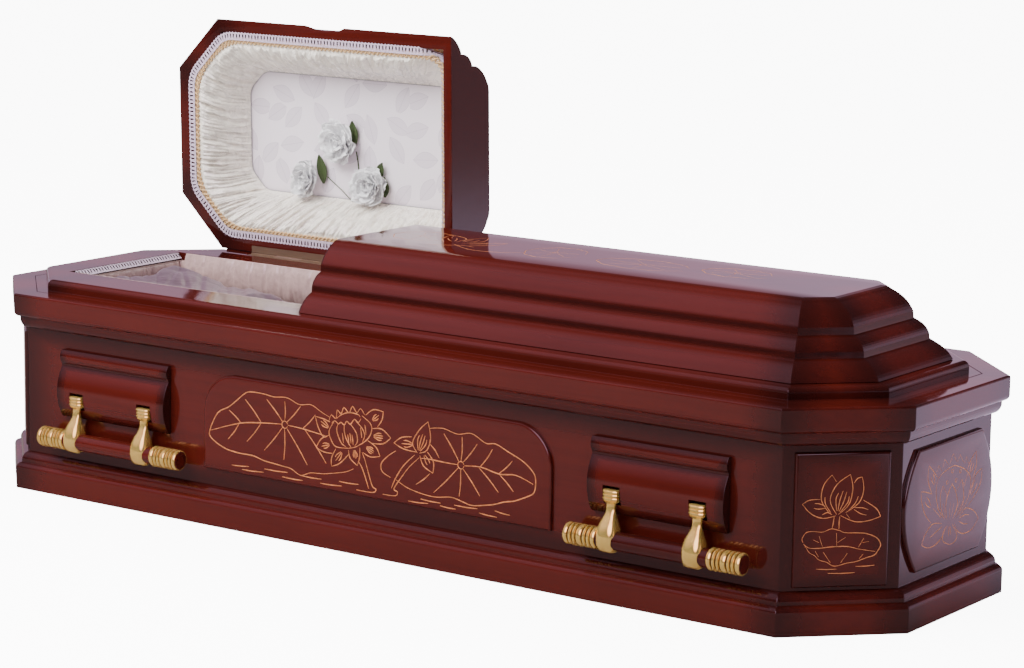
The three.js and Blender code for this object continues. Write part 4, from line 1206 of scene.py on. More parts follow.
def backing_block():
    """Moulded block: a small bead over a big swell, with a pocket for each arm"""
    profile = [(0.3, BLOCK_BOTTOM)]
    for i in range(15):
        t = i / 14
        profile.append((9 + 64 * t * (1 - t), BLOCK_BOTTOM + (BLOCK_WAIST - BLOCK_BOTTOM) * t))
    for i in range(9):
        t = i / 8
        profile.append((9 + 24 * t * (1 - t), BLOCK_WAIST + (BLOCK_TOP - BLOCK_WAIST) * (0.12 + 0.88 * t)))
    profile.append((0.3, BLOCK_TOP))
    bm = bmesh.new()
    loft(bm, [[Vector((x, y, z)) for y, z in profile] for x in (-140, 140)])
    outward(bm)
    for side in (-1, 1):
        pocket = bmesh.new()
        block(pocket, (side * ARM_X - 17.5, PIVOT_OUT - 15.5, PIVOT_HEIGHT - 15.5),
              (side * ARM_X + 17.5, 60, PIVOT_HEIGHT + 17.5))
        bm = cut(bm, pocket)
    shade(bm)
    return bm


def swing_arm(middle):
    """Cast arm: ribbed head, slim neck and a full belly round the bar"""
    head = PIVOT_HEIGHT
    stations = [(PIVOT_OUT, head + 11.4, 9.6, 29.4)]
    for top in (10.4, 4.2, -2.0):
        stations += [(PIVOT_OUT, head + top, 11.2, 31.0), (PIVOT_OUT, head + top - 1.8, 12.0, 31.6),
                     (PIVOT_OUT, head + top - 3.6, 11.2, 31.0), (PIVOT_OUT, head + top - 4.2, 9.4, 28.0),
                     (PIVOT_OUT, head + top - 5.6, 9.4, 28.0)]
    foot, out = BAR_HEIGHT, BAR_OUT
    stations += [(PIVOT_OUT, head - 8.2, 11.2, 30.6), (PIVOT_OUT, head - 11.2, 8.2, 25.0),
        (PIVOT_OUT + 0.8, head - 13.8, 5.0, 17.4), (PIVOT_OUT + 1.6, head - 22, 4.8, 16.6),
        (PIVOT_OUT + 2.6, head - 30, 6.4, 18.4), (out - 3.4, foot + 39, 9.8, 24.0),
        (out - 1.6, foot + 31, 14.2, 30.6), (out - 0.4, foot + 21, 18.6, 36.6),
        (out, foot + 10, 21.8, 39.8), (out, foot - 1, 22.4, 40.0), (out, foot - 11, 19.8, 37.4),
        (out, foot - 18, 15.0, 33.0), (out, foot - 22, 7.0, 26.0)]
    bm = bmesh.new()
    rings = []
    for y, z, thick, width in stations:
        ring = []
        for k in range(20):
            turn = math.tau * k / 20
            across, outward_share = math.cos(turn), math.sin(turn)
            # A squarish section with flat cheeks
            square = 1 / max((abs(across) ** 4 + abs(outward_share) ** 3) ** 0.29, 1e-6)
            ring.append(Vector((middle + width / 2 * across * square,
                y + thick * outward_share * square * 0.92, z)))
        rings.append(ring)
    loft(bm, rings)
    outward(bm)
    shade(bm, angle=38)
    return bm


def ferrule_profile():
    """Radius along one ferrule, from its inner end to its flat outer end"""
    points = [(0, 16.6)]
    for start, width in ((0, 8), (11, 5.5), (19.5, 5.5), (28, 10), (41, 5.5), (49.5, 5.5), (58, 8)):
        points += [(start, 17.2), (start + 0.5, 18.8), (start + width * 0.3, 20.1),
                   (start + width * 0.7, 20.1), (start + width - 0.5, 18.8), (start + width, 17.2)]
    points.append((66, 16.6))
    return points


def turned_shape(profile, sleeve=False):
    """Spins a profile of (place along X, radius) about the bar's axis. A sleeve is hollow, so
    its profile closes on itself."""
    bm = bmesh.new()
    verts = [bm.verts.new((x, 0, radius)) for x, radius in profile]
    for a, b in zip(verts, verts[1:] + (verts[:1] if sleeve else [])):
        bm.edges.new((a, b))
    bmesh.ops.spin(bm, geom=bm.verts[:] + bm.edges[:], cent=(0, 0, 0), axis=(1, 0, 0),
                   angle=math.tau, steps=40, use_merge=True)
    if sleeve:
        # The groove bottoms and the bore take the second material, which is painted shade
        for face in bm.faces:
            middle = face.calc_center_median()
            face.material_index = int(math.hypot(middle.y, middle.z) < 17.5)
    bmesh.ops.translate(bm, vec=(0, BAR_OUT, BAR_HEIGHT), verts=bm.verts)
    outward(bm)
    shade(bm, angle=35)
    return bm


class OBJECT_OT_casket_handles(bpy.types.Operator):
    """Builds the four handle sets: block, two brass arms, wooden bar and two ferrules"""
    bl_idname = "object.casket_handles"
    bl_label = "Handles"

    def execute(self, context):
        brass = shared("Polished Cast Brass", polished_brass)
        groove_shade = shared("Dark Brass In Grooves", groove_painted_shade)
        wood = dark_lacquer()
        for handle in HANDLES:
            place = in_place(handle)
            body = f"{handle}_handle"
            self.add(f"block_{handle}", backing_block(), place, block_lacquer(), "box", "red_lacquer",
                     [f"handle_block_{handle}"], sizes().arris)
            for number, side in (("1", -1), ("2", 1)):
                self.add(f"arm_{handle}_{number}", swing_arm(side * ARM_X), place, brass, body,
                         "polished_brass", [f"handle_arm_{handle}_{number}"])
            # The bar sits a little off the middle in its eyes
            place_bar = place @ Matrix.Translation((-7, 0, 0))
            bar = turned_shape([(-182, 0), (-182, 16), (-181, 17), (181, 17), (182, 16), (182, 0)])
            self.add(f"bar_{handle}", bar, place_bar, wood, body, "dark_lacquer", [f"handle_bar_{handle}"])
            for number, side in (("1", -1), ("2", 1)):
                points = [(side * (115 + x), radius) for x, radius in ferrule_profile()]
                self.add(f"ferrule_{handle}_{number}", turned_shape(points, sleeve=True), place_bar,
                         [brass, groove_shade], body, "polished_brass")
        return {"FINISHED"}

    def add(self, name, bm, place, material, body, slot, replaces=(), arris=None):
        bmesh.ops.transform(bm, matrix=place, verts=bm.verts)
        obj = finish_piece(name, bm, material, body, replaces)
        if arris:
            soften(obj, arris)


# Linings of the lids. They are drawn for the shut lid, depth counted up from its rim.


def lid_path(side, inset, cut_end_gap):
    """Closed path inside one lid at an inset from the box's edge"""
    cut_at = SPLIT + side * (SPLIT_GAP / 2 + SPLIT_WALL + cut_end_gap)
    corners = [corner_at(i, inset, 0).xy for i in ((0, 1, 2, 3) if side > 0 else (4, 5, 6, 7))]
    start = Vector((cut_at, corners[0].y))
    end = Vector((cut_at, corners[-1].y))
    return [start, *corners, end]


def rounded_path(points, radius, step):
    """Walks along straight runs with rounded corners, one point every step"""
    count = len(points)
    raw = []
    for i, at in enumerate(points):
        before = points[i - 1]
        after = points[(i + 1) % count]
        to_before = (before - at)
        to_after = (after - at)
        room = min(radius, to_before.length * 0.45, to_after.length * 0.45)
        a = at + to_before.normalized() * room
        b = at + to_after.normalized() * room
        for k in range(9):
            t = k / 8
            raw.append(a * (1 - t) ** 2 + at * 2 * t * (1 - t) + b * t ** 2)
    raw.append(raw[0])
    lengths = [0.0]
    for a, b in zip(raw, raw[1:]):
        lengths.append(lengths[-1] + (b - a).length)
    total = lengths[-1]
    steps = max(int(total / step), 8)
    path = []
    at = 0
    for i in range(steps):
        want = total * i / steps
        while lengths[at + 1] < want:
            at += 1
        share = (want - lengths[at]) / max(lengths[at + 1] - lengths[at], 1e-9)
        path.append(raw[at].lerp(raw[at + 1], share))
    return path, total


def paired_rings(outer, inner, radius_outer, radius_inner, step):
    """Two rounded paths with the same number of points, walked side by side"""
    path_out, total = rounded_path(outer, radius_outer, step)
    count = len(path_out)
    _, total_in = rounded_path(inner, radius_inner, step)
    path_in, _ = rounded_path(inner, radius_inner, total_in / (count + 0.5))
    path_in = path_in[:count]
    while len(path_in) < count:
        path_in.append(path_in[-1])
    return path_out, path_in, total


def pleat_height(s, t, seed):
    """Height of the shirring, from -1 to 1: sharp uneven folds across the border, with finer
    ones near the gathered edge"""
    pitch = sizes().pleat / MM
    bend = 16 * noise.noise(Vector((s * 0.011, t * 1.4, seed)))
    place = s + bend * t
    long_folds = 1 - 3.2 * abs(noise.noise(Vector((place / pitch, t * 0.8, seed + 3))))
    short_folds = 1 - 3.2 * abs(noise.noise(Vector((place / pitch * 1.9, t * 1.6, seed + 7))))
    cross = noise.noise(Vector((place / pitch * 0.8, t * 7.0, seed + 11)))
    return 0.5 * long_folds + 0.4 * short_folds + 0.45 * cross


def near_cut_end(x, side, reach=60):
    """1 beside the bar at the lid's cut end, 0 beyond the reach"""
    away = abs(x - (SPLIT + side * (SPLIT_GAP / 2 + SPLIT_WALL)))
    share = min(1.0, max(0.0, 1 - away / reach))
    return share * share * (3 - 2 * share)


def shirred_border(side, seed):
    """The satin border from the wooden rim up to the centre panel, in gathered folds. Beside
    the cut end it lies deeper and flatter, behind the bar."""
    outer = lid_path(side, LID_INSET + LID_RIM + 9, 1.2)
    inner = lid_path(side, LID_INSET + 118.0, 26.0)
    # Coarser on the longer, hidden one, so that the piece stays under 200,000 triangles
    step = 2.0 if side < 0 else 2.6
    path_out, path_in, total = paired_rings(outer, inner, 34, 16, step)
    count = len(path_out)
    rows = 34
    bm = bmesh.new()
    bmesh.ops.create_grid(bm, x_segments=count, y_segments=rows, size=0.5)
    deep = sizes().pleat_depth / MM
    puff = sizes().puff / MM
    for vert in bm.verts:
        i = int(round((vert.co.x + 0.5) * count)) % count
        t = vert.co.y + 0.5
        a, b = path_out[i], path_in[i]
        hidden = near_cut_end(a.x, side)
        start = 8 + 16 * hidden
        across = Vector((*(b - a), LINING_DEPTH - start))
        run = (b - a).normalized()
        out = Vector((run.x * across.z, run.y * across.z, -(b - a).length)).normalized()
        swell = math.sin(math.pi * min(1.0, t / 0.94) ** 0.62)
        hold = min(1.0, t / 0.08 + 0.25, (1 - t) / 0.12)
        height = pleat_height(i * total / count, t, seed) * (1.15 - 0.55 * t)
        place = Vector((a.x, a.y, LID_FLOOR + start)) + across * t
        place += out * (puff * swell * (1 - hidden) + deep * height * hold * (1 - 0.7 * hidden))
        # The braid presses the satin down, and no fold stands proud of the wooden rim, which
        # shuts on the frame
        free = min(1.0, max(0.0, (t - 0.06) / 0.07))
        low = LID_FLOOR + 5.4 - 5.1 * free * free * (3 - 2 * free)
        place.z = min(max(place.z, low), LID_FLOOR + LINING_DEPTH + 0.6)
        vert.co = place
    bmesh.ops.remove_doubles(bm, verts=bm.verts, dist=0.05)
    for face in bm.faces:
        face.smooth = True
    area = sum(face.calc_area() for face in bm.faces) * MM * MM
    return bm, area, total, path_out, path_in


def facing(bm, towards):
    """Turns an open sheet so that its face looks to the given direction"""
    bm.normal_update()
    total = sum((f.normal * f.calc_area() for f in bm.faces), Vector())
    if total.dot(Vector(towards)) < 0:
        bmesh.ops.reverse_faces(bm, faces=bm.faces)


def centre_panel(path_in):
    """Softly padded flat panel on the lid's roof, with a rolled edge under the border"""
    middle = sum((Vector(p) for p in path_in), Vector((0, 0))) / len(path_in)
    height = LID_FLOOR + LINING_DEPTH + 1
    rings = []
    edge = ((1.04, 1.5), (1.0, 0.4), (0.97, -0.8), (0.92, -2.0), (0.8, -3.0), (0.6, -3.6), (0.3, -3.6))
    for share, drop in edge:
        rings.append([Vector((*(middle + (p - middle) * share), height + drop)) for p in path_in[::6]])
    bm = bmesh.new()
    loft(bm, rings, capped=False)
    near = 0.45 * max((p - middle).length for p in path_in)
    last = [e for e in bm.edges
            if e.is_boundary and all((v.co.xy - middle).length < near for v in e.verts)]
    bmesh.ops.holes_fill(bm, edges=last, sides=0)
    for face in bm.faces:
        face.smooth = True
    return bm


def tube_along(points, radius, sides=6):
    """A closed tube along a closed line of points in space"""
    bm = bmesh.new()
    rings = []
    count = len(points)
    for i, at in enumerate(points):
        ahead = (points[(i + 1) % count] - points[i - 1]).normalized()
        aside = ahead.cross(Vector((0, 0, 1)))
        aside = aside.normalized() if aside.length > 1e-6 else Vector((1, 0, 0))
        up = aside.cross(ahead)
        turns = [math.tau * k / sides for k in range(sides)]
        rings.append([at + radius * (aside * math.cos(t) + up * math.sin(t)) for t in turns])
    loft(bm, rings, path_closed=True)
    outward(bm)
    for face in bm.faces:
        face.smooth = True
    return bm


class OBJECT_OT_casket_lid_linings(bpy.types.Operator):
    """Lines both lids with a shirred satin border and a smooth centre panel"""
    bl_idname = "object.casket_lid_linings"
    bl_label = "Lid linings"

    def execute(self, context):
        cloth = shared("Leaf Printed Polyester", printed_cloth)
        for name, side, seed in (("head", -1, 11.0), ("foot", 1, 47.0)):
            body = f"{name}_lid_body"
            turned = side < 0
            bm, area, total, path_out, path_in = shirred_border(side, seed)
            facing(bm, (0, 0, -1))
            border = finish_piece(f"{name}_lid_border", bm, cream_satin(), body,
                                  [f"{name}_lid_lining"], turned=turned)
            solid = border.modifiers.new("cloth", "SOLIDIFY")
            solid.thickness = 0.8 * MM
            solid.offset = -1
            bm = centre_panel(path_in)
            facing(bm, (0, 0, -1))
            area = sum(face.calc_area() for face in bm.faces) * MM * MM
            spans = [max(p[k] for p in path_in) - min(p[k] for p in path_in) + 16 for k in (0, 1)]
            panel = finish_piece(f"{name}_lid_centre_panel", bm, cloth if turned else cream_satin(), body,
                                 turned=turned)
            solid = panel.modifiers.new("cloth", "SOLIDIFY")
            solid.thickness = 1.2 * MM
            solid.offset = -1
            whole = spans[0] * spans[1] * MM * MM
            min(area, whole)
            if turned:
                self.trims(path_in, body)
        return {"FINISHED"}

    def trims(self, path_in, body):
        """Cord round the centre panel, gold braid and lace round the open lid's rim"""
        height = LID_FLOOR + LINING_DEPTH - 0.8
        cord = tube_along([Vector((*p, height)) for p in path_in[::3]], sizes().cord / MM / 2)
        finish_piece("head_lid_cord", cord, shared("Grey Twisted Cord", thread,
                     linear("#b9b2b8")), body, turned=True)
        outer = lid_path(-1, LID_INSET + LID_RIM + 16, 12)
        path, total = rounded_path(outer, 46, 1.4)
        self.braid(path, total, body)
        self.lace(body)

    def braid(self, path, total, body):
        """Gimp braid: two thick strands that cross in open loops, with a thin one down the
        middle"""
        half = sizes().braid / MM / 2
        count = len(path)
        turns = round(total / 21)
        whole = bmesh.new()
        for strand, thick in ((0, 2.0), (0.5, 2.0), (None, 1.3)):
            points = []
            for i, at in enumerate(path):
                ahead = (path[(i + 1) % count] - path[i - 1]).normalized()
                aside = Vector((-ahead.y, ahead.x))
                phase = math.tau * (turns * i / count + (strand or 0))
                swing = 0 if strand is None else half * 0.72 * math.sin(phase)
                rise = 0 if strand is None else 1.2 * math.cos(phase)
                sunk = 17 * near_cut_end(at.x, -1)
                points.append(Vector((*(at + aside * swing), LID_FLOOR + 3.5 + sunk + rise)))
            mesh = as_mesh(tube_along(points, thick, 6), "strand")
            whole.from_mesh(mesh)
            bpy.data.meshes.remove(mesh)
        finish_piece("head_lid_braid", whole, shared("Gold Gimp Thread", thread,
                     colours().braid, 0.5, 0.25), body, turned=True)

    def lace(self, body):
        path = rounded_path(lid_path(-1, LID_INSET + LID_RIM - 2.5, 1.2), 30, 4.2)[0]
        strip = lace_strip(path, LID_FLOOR - 0.15, sizes().lace / MM)
        for vert in strip.verts:
            vert.co.z += 22 * near_cut_end(vert.co.x, -1)
        finish_piece("head_lid_lace", strip,
                     shared("White Cotton Lace", thread, colours().lace, 0.75),
                     body, turned=True)


def lace_strip(path, height, width, rise=0.0, closed=True):
    """A strip of lace: a toothed edge and a row of large eyelets"""
    bm = bmesh.new()
    count = len(path) - len(path) % 4
    rows = (0, 0.22, 0.76, 1)
    rings = []
    for i in range(count):
        at = path[i]
        before, after = path[i - 1], path[(i + 1) % count]
        if not closed:
            before, after = path[max(i - 1, 0)], path[min(i + 1, count - 1)]
        ahead = (after - before).normalized()
        aside = Vector((-ahead.y, ahead.x))
        ring = []
        for k, share in enumerate(rows):
            # The eyelets lean to each other in pairs, and the edge is toothed
            lean = (1.2, 0, 0, -1.2)[i % 4] if k == 2 else 0
            tooth = 2.0 * (i % 2) if k == 0 else 0
            ring.append(Vector((*(at + aside * (width * share + tooth) + ahead * lean),
                height + rise * share)))
        rings.append(ring)
    loft(bm, rings, ring_closed=False, path_closed=closed)
    bm.normal_update()
    bm.faces.ensure_lookup_table()
    holes = [face for n, face in enumerate(bm.faces) if n % 3 == 1 and (n // 3) % 2 == 0]
    bmesh.ops.inset_individual(bm, faces=holes, thickness=0.3, depth=0)
    bmesh.ops.delete(bm, geom=holes, context="FACES_ONLY")
    return bm


# Silk flowers


def silk_petal(bm, reach, width, cup, seed, place):
    """One ruffled petal: a grid bent into a cup, its far edge in deep waves"""
    out = bmesh.ops.create_grid(bm, x_segments=10, y_segments=8, size=0.5)
    for vert in out["verts"]:
        across, along = vert.co.x * 2, vert.co.y + 0.5
        spread = math.sin(math.pi * (0.10 + 0.62 * along)) * width / 2
        wave = noise.noise(Vector((across * 3.4, along * 1.2, seed)))
        lift = cup * along * along * reach + 0.3 * abs(across) ** 1.5 * spread
        edge = 1 - 0.22 * across * across + 0.1 * wave * along
        spot = Vector((across * spread, along * reach * edge, lift + 0.34 * reach * wave * along * along))
        vert.co = place @ spot


def silk_flower(radius, seed):
    """Rings of ruffled petals, steeper towards the middle"""
    bm = bmesh.new()
    rings = ((6, 1.0, 0.10, 0.5), (6, 0.92, 0.34, 3.0), (5, 0.72, 0.70, 6.0), (4, 0.5, 1.05, 8.0),
        (3, 0.3, 1.4, 9.0))
    for number, (count, reach, tilt, lift) in enumerate(rings):
        for k in range(count):
            stray = noise.noise(Vector((k * 1.7, number * 2.3, seed)))
            turn = math.tau * (k + 0.5 * (number % 2)) / count + 0.6 * stray
            place = (Matrix.Translation((0, 0, lift)) @ Matrix.Rotation(turn, 4, "Z")
                     @ Matrix.Rotation(tilt + 0.3 * stray, 4, "X"))
            silk_petal(bm, radius * reach * (1 + 0.15 * stray), radius * reach * 1.25, 0.2,
                       seed + 13 * number + k * 1.3, place)
    for face in bm.faces:
        face.smooth = True
    return bm


def silk_leaf(length_mm, width, seed):
    bm = bmesh.new()
    out = bmesh.ops.create_grid(bm, x_segments=8, y_segments=12, size=0.5)
    for vert in out["verts"]:
        across, along = vert.co.x * 2, vert.co.y + 0.5
        spread = width / 2 * math.sin(math.pi * min(1, along * 0.96 + 0.03)) ** 0.8
        ripple = 1.2 * noise.noise(Vector((across * 2, along * 5, seed)))
        vert.co = (across * spread, along * length_mm, 2.4 * abs(across) + 6 * along * along + ripple)
    for face in bm.faces:
        face.smooth = True
    return bm


class OBJECT_OT_casket_flowers(bpy.types.Operator):
    """Sews three silk flowers with leaves and stems on the head lid's centre panel"""
    bl_idname = "object.casket_flowers"
    bl_label = "Silk flowers"

    def on_panel(self, x, d, height):
        """A point of the shut lid from its place along X and its distance from the hinge edge"""
        return Vector((x, HINGE_Y - d, LID_FLOOR + height))

    def add(self, name, bm, material, spot, turn, scale=(1, 1, 1)):
        place = (Matrix.Translation(spot) @ Matrix.Rotation(turn, 4, "Z")
                 @ Matrix.Rotation(math.pi, 4, "X") @ Matrix.Diagonal((*scale, 1)))
        bmesh.ops.transform(bm, matrix=place, verts=bm.verts)
        obj = finish_piece(name, bm, material, "head_lid_body", turned=True)
        solid = obj.modifiers.new("silk", "SOLIDIFY")
        solid.thickness = 0.4 * MM

    def execute(self, context):
        white = shared("White Pressed Silk", silk, colours().petal)
        green = shared("Green Pressed Silk", silk, colours().leaf, 0.0)
        flowers = (((-676, 158), (36, 46), 3.5), ((-587, 244), (52, 46), 23.2), ((-506, 158), (45, 47), 41.7))
        for number, ((x, d), (wide, high), seed) in enumerate(flowers, 1):
            bm = silk_flower(46, seed)
            self.add(f"silk_flower_{number}", bm, white, self.on_panel(x, d, 88), 0.4 * number,
                     (wide / 46, high / 46, 1))
        leaves = (((-636, 150), 62, 26, -0.12), ((-556, 232), 58, 26, 0.05), ((-497, 168), 46, 22, 0.5),
                  ((-474, 135), 44, 22, 0.1), ((-318, 158), 22, 14, 0.8))
        for number, ((x, d), long, wide, turn) in enumerate(leaves, 1):
            self.add(f"silk_leaf_{number}", silk_leaf(long, wide, number * 5.0), green,
                     self.on_panel(x, d, 90), turn)
        stems = (((-628, 165), (-590, 140), (-554, 112)), ((-550, 225), (-546, 205), (-543, 180)),
                 ((-538, 132), (-538, 124), (-538, 112)))
        whole = bmesh.new()
        for points in stems:
            line = [self.on_panel(x, d, 91) for x, d in points]
            turns = [math.tau * k / 8 for k in range(8)]
            rings = [[at + 1.4 * Vector((math.cos(t), 0, math.sin(t))) for t in turns] for at in line]
            loft(whole, rings)
        outward(whole)
        finish_piece("silk_stems", whole, green, "head_lid_body", turned=True)
        return {"FINISHED"}


# Inside the box


def rectangle(half_x, half_y):
    return [Vector(p) for p in ((half_x, -half_y), (half_x, half_y), (-half_x, half_y), (-half_x, -half_y))]


def gathered_band(path, total, profile, pitch_share, deep, seed):
    """Cloth in upright folds along a path. The profile gives (set back, height) downwards."""
    bm = bmesh.new()
    count = len(path)
    rings = []
    for i, at in enumerate(path):
        ahead = (path[(i + 1) % count] - path[i - 1]).normalized()
        aside = Vector((ahead.y, -ahead.x))
        ring = []
        for k, (back, height) in enumerate(profile):
            t = k / (len(profile) - 1)
            fold = pleat_height(i * total / count / pitch_share, t * 0.6, seed)
            hold = min(1, t / 0.12 + 0.25)
            ring.append(Vector((*(at + aside * (back - deep * fold * hold)), height)))
        rings.append(ring)
    loft(bm, rings, ring_closed=False, path_closed=True)
    for face in bm.faces:
        face.smooth = True
    return bm


class OBJECT_OT_casket_box_lining(bpy.types.Operator):
    """Lines the opening's edge and the inside of the box with satin"""
    bl_idname = "object.casket_box_lining"
    bl_label = "Box lining"

    def execute(self, context):
        # The box lining is the cream satin with painted shade and painted red bounce light in its colour
        cream = shared("Rose Polyester Satin", satin, colours().shaded_box_satin,
                       rough=0.3, crease=0.12, coat=0.2)
        path, total = rounded_path(rectangle(OPENING_HALF_LENGTH - 4, OPENING_HALF_WIDTH - 4), 5, 3.0)
        low = RIM_BOTTOM - 7
        profile = [(2.8, FRAME_TOP - 0.2), (2.0, FRAME_TOP), (0.6, FRAME_TOP - 0.1), (0, FRAME_TOP - 2)]
        profile += [(-9 * math.sin(math.pi * k / 12) ** 0.8, FRAME_TOP - 2 - (FRAME_TOP - 2 - low) * k / 12)
                    for k in range(1, 13)]
        bm = gathered_band(path, total, profile, 1.0, 3.0, 5.0)
        # At the head end it is tacked lower, behind the lace
        for vert in bm.verts:
            if vert.co.x < 22 - OPENING_HALF_LENGTH:
                vert.co.z = min(vert.co.z, FRAME_TOP - 16)
        area = sum(f.calc_area() for f in bm.faces) * MM * MM
        band = finish_piece("opening_edge_lining", bm, cream, "box", ["box_lining"])
        self.room_lining(cream)
        back, front = OPENING_HALF_WIDTH - 6, 8 - OPENING_HALF_WIDTH
        steps = int((back - front) / 4.2)
        head = 2 - OPENING_HALF_LENGTH
        path = [Vector((head, back + (front - back) * i / steps)) for i in range(steps + 1)]
        finish_piece("head_end_lace", lace_strip(path, FRAME_TOP, 11.0, rise=-11.0, closed=False),
                     shared("White Cotton Lace", thread, colours().lace, 0.75),
                     "box")
        return {"FINISHED"}

    def room_lining(self, cream):
        """From the underside of the top boards out to the walls and down to the floor"""
        corners = [corner_at(i, WALL_INNER + 3.0, 0).xy for i in range(8)]
        path, total = rounded_path(corners, 10, 5.0)
        high = RIM_BOTTOM - 2.5
        profile = [(-60, high), (-24, high), (-6, high - 1), (0, high - 6)]
        profile += [(0, high - 6 - (high - 6 - FLOOR_TOP - 4) * k / 10) for k in range(1, 11)]
        bm = gathered_band(path, total, profile, 1.9, 2.2, 71.0)
        area = sum(f.calc_area() for f in bm.faces) * MM * MM
        room = finish_piece("room_lining", bm, cream, "box")


def puffed(name, bm, cell, pressure, cap, fixed_below):
    """Swells a closed pad with the cloth simulation and keeps every point within a cap"""
    obj = bpy.data.objects.new(name, as_mesh(bm, name))
    bpy.context.scene.collection.objects.link(obj)
    remesh = obj.modifiers.new("remesh", "REMESH")
    remesh.mode = "VOXEL"
    remesh.voxel_size = cell
    graph = bpy.context.evaluated_depsgraph_get()
    mesh = bpy.data.meshes.new_from_object(obj.evaluated_get(graph))
    obj.modifiers.clear()
    obj.data = mesh
    rest = [v.co.copy() for v in mesh.vertices]
    cloth = obj.modifiers.new("cloth", "CLOTH")
    cloth.settings.use_pressure = True
    cloth.settings.uniform_pressure_force = pressure
    cloth.settings.effector_weights.gravity = 0
    cloth.settings.quality = 5
    cloth.point_cache.frame_start = 1
    cloth.point_cache.frame_end = 20
    scene = bpy.context.scene
    for number in range(1, 21):
        scene.frame_set(number)
    graph = bpy.context.evaluated_depsgraph_get()
    moved = bpy.data.meshes.new_from_object(obj.evaluated_get(graph))
    for vert, start in zip(moved.vertices, rest):
        step = vert.co - start
        if step.length > cap:
            vert.co = start + step * (cap / step.length)
        if vert.co.z < fixed_below:
            vert.co.z = fixed_below
    obj.modifiers.clear()
    obj.data = moved
    scene.frame_set(1)
    return obj


class OBJECT_OT_casket_bedding(bpy.types.Operator):
    """Fills the box with its mattress and the satin pillow"""
    bl_idname = "object.casket_bedding"
    bl_label = "Bedding"

    def execute(self, context):
        # The lilac's dark tone is painted shade
        lilac = shared("Lilac Polyester Satin", satin, colours().shaded_pillow_satin,
                       rough=0.36, sheen=0.15, crease=0.3, crease_scale=16, coat=0.1)
        self.mattress(lilac)
        self.pillow(lilac)
        return {"FINISHED"}

    def declare(self, obj, material, node, fill):
        obj.data.materials.clear()
        obj.data.materials.append(material)
        for face in obj.data.polygons:
            face.use_smooth = True
        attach(obj, "box")
        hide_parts(node)

    def mattress(self, material):
        inset = WALL_INNER + 22
        low = FLOOR_TOP + 6
        profile = [(inset + 8, low), (inset, low + 12), (inset, MATTRESS_TOP - 22),
            (inset + 14, MATTRESS_TOP - 8), (inset + 40, MATTRESS_TOP - 6)]
        bm = plan_solid(profile)
        bmesh.ops.scale(bm, vec=(MM, MM, MM), verts=bm.verts)
        obj = puffed("satin_mattress", bm, sizes().bed_cell, 3.0, 0.006, low * MM)
        top = MATTRESS_TOP * MM
        for vert in obj.data.vertices:
            vert.co.z = min(vert.co.z, top - 0.0005)
        subdivide(obj)
        self.declare(obj, material, "mattress", 0.6)

    def pillow(self, material):
        """A wedge that is high at the head end and falls off towards the chest"""
        low, high = (Vector(c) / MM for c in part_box("pillow"))
        length_mm = high.x - low.x
        half = (high.y - low.y) / 2
        bm = bmesh.new()
        rings = []
        for i in range(13):
            t = i / 12
            pull = 1 - 0.03 * math.sin(math.pi * t)
            top = high.z + 6 - 42 * t
            pinch = 0.93 + 0.07 * min(1, t / 0.09, (1 - t) / 0.09)
            x = low.x + 2 + (length_mm - 6) * t
            bottom = low.z + 2
            middle = (top + bottom) / 2
            ring = []
            for k in range(24):
                turn = math.tau * k / 24
                across = math.copysign(abs(math.cos(turn)) ** 0.3, math.cos(turn))
                up = math.copysign(abs(math.sin(turn)) ** 0.35, math.sin(turn))
                z = middle + (top - bottom) / 2 * up * pinch
                ring.append(Vector((x, (half - 7) * across * pull, z)))
            rings.append(ring)
        loft(bm, rings)
        outward(bm)
        bmesh.ops.scale(bm, vec=(MM, MM, MM), verts=bm.verts)
        obj = puffed("satin_pillow", bm, sizes().pillow_cell, 4.0, 0.010, (low.z + 0.5) * MM)
        limits = (low * MM, (high + Vector((0, 0, 8))) * MM)
        for vert in obj.data.vertices:
            if vert.co.z > (low.z + 60) * MM:
                vert.co.z += self.dent(vert.co)
            vert.co = [min(max(c, limits[0][k]), limits[1][k]) for k, c in enumerate(vert.co)]
        subdivide(obj)
        self.declare(obj, material, "pillow", 0.7)

    def dent(self, spot):
        """Soft hollows in the pillow and a few creases that run from its corners"""
        hollow = 0.008 * noise.noise(Vector((spot.x * 8, spot.y * 12, 2.0)))
        slant = noise.noise(Vector(((spot.x + 0.8 * spot.y) * 26, spot.y * 5, 9.0)))
        crease = 0.005 * max(0.0, 1 - 5 * abs(slant))
        return hollow - crease - 0.002


def subdivide(obj):
    fine = obj.modifiers.new("fine", "SUBSURF")
    fine.levels = 1
    fine.render_levels = 1


# Stage

PHOTO_WIDTH = 1024
PHOTO_HEIGHT = 668
FOCAL_PIXELS = 3163.5
CENTRE_PIXEL = (488.1, 323.9)
CAMERA_AT = (3510.7, -4817.4, 1463.1)
CAMERA_DOWN = 0.178
CAMERA_SWING = 0.625
CAMERA_ROLL = 0.013
SENSOR = 36.0
GLOW_FROM = (-0.58, -0.35, 0.73)
CARD_FROM = (0.3, -0.74, 0.6)


def softbox(name, place, aim, size, power, tint=(1, 1, 1)):
    light = bpy.data.lights.new(name, "AREA")
    light.shape = "RECTANGLE"
    light.size, light.size_y = size
    light.energy = power
    light.color = tint
    obj = bpy.data.objects.new(name, light)
    bpy.context.scene.collection.objects.link(obj)
    obj.location = place
    obj.rotation_euler = (Vector(aim) - Vector(place)).to_track_quat("-Z", "Y").to_euler()
    return obj


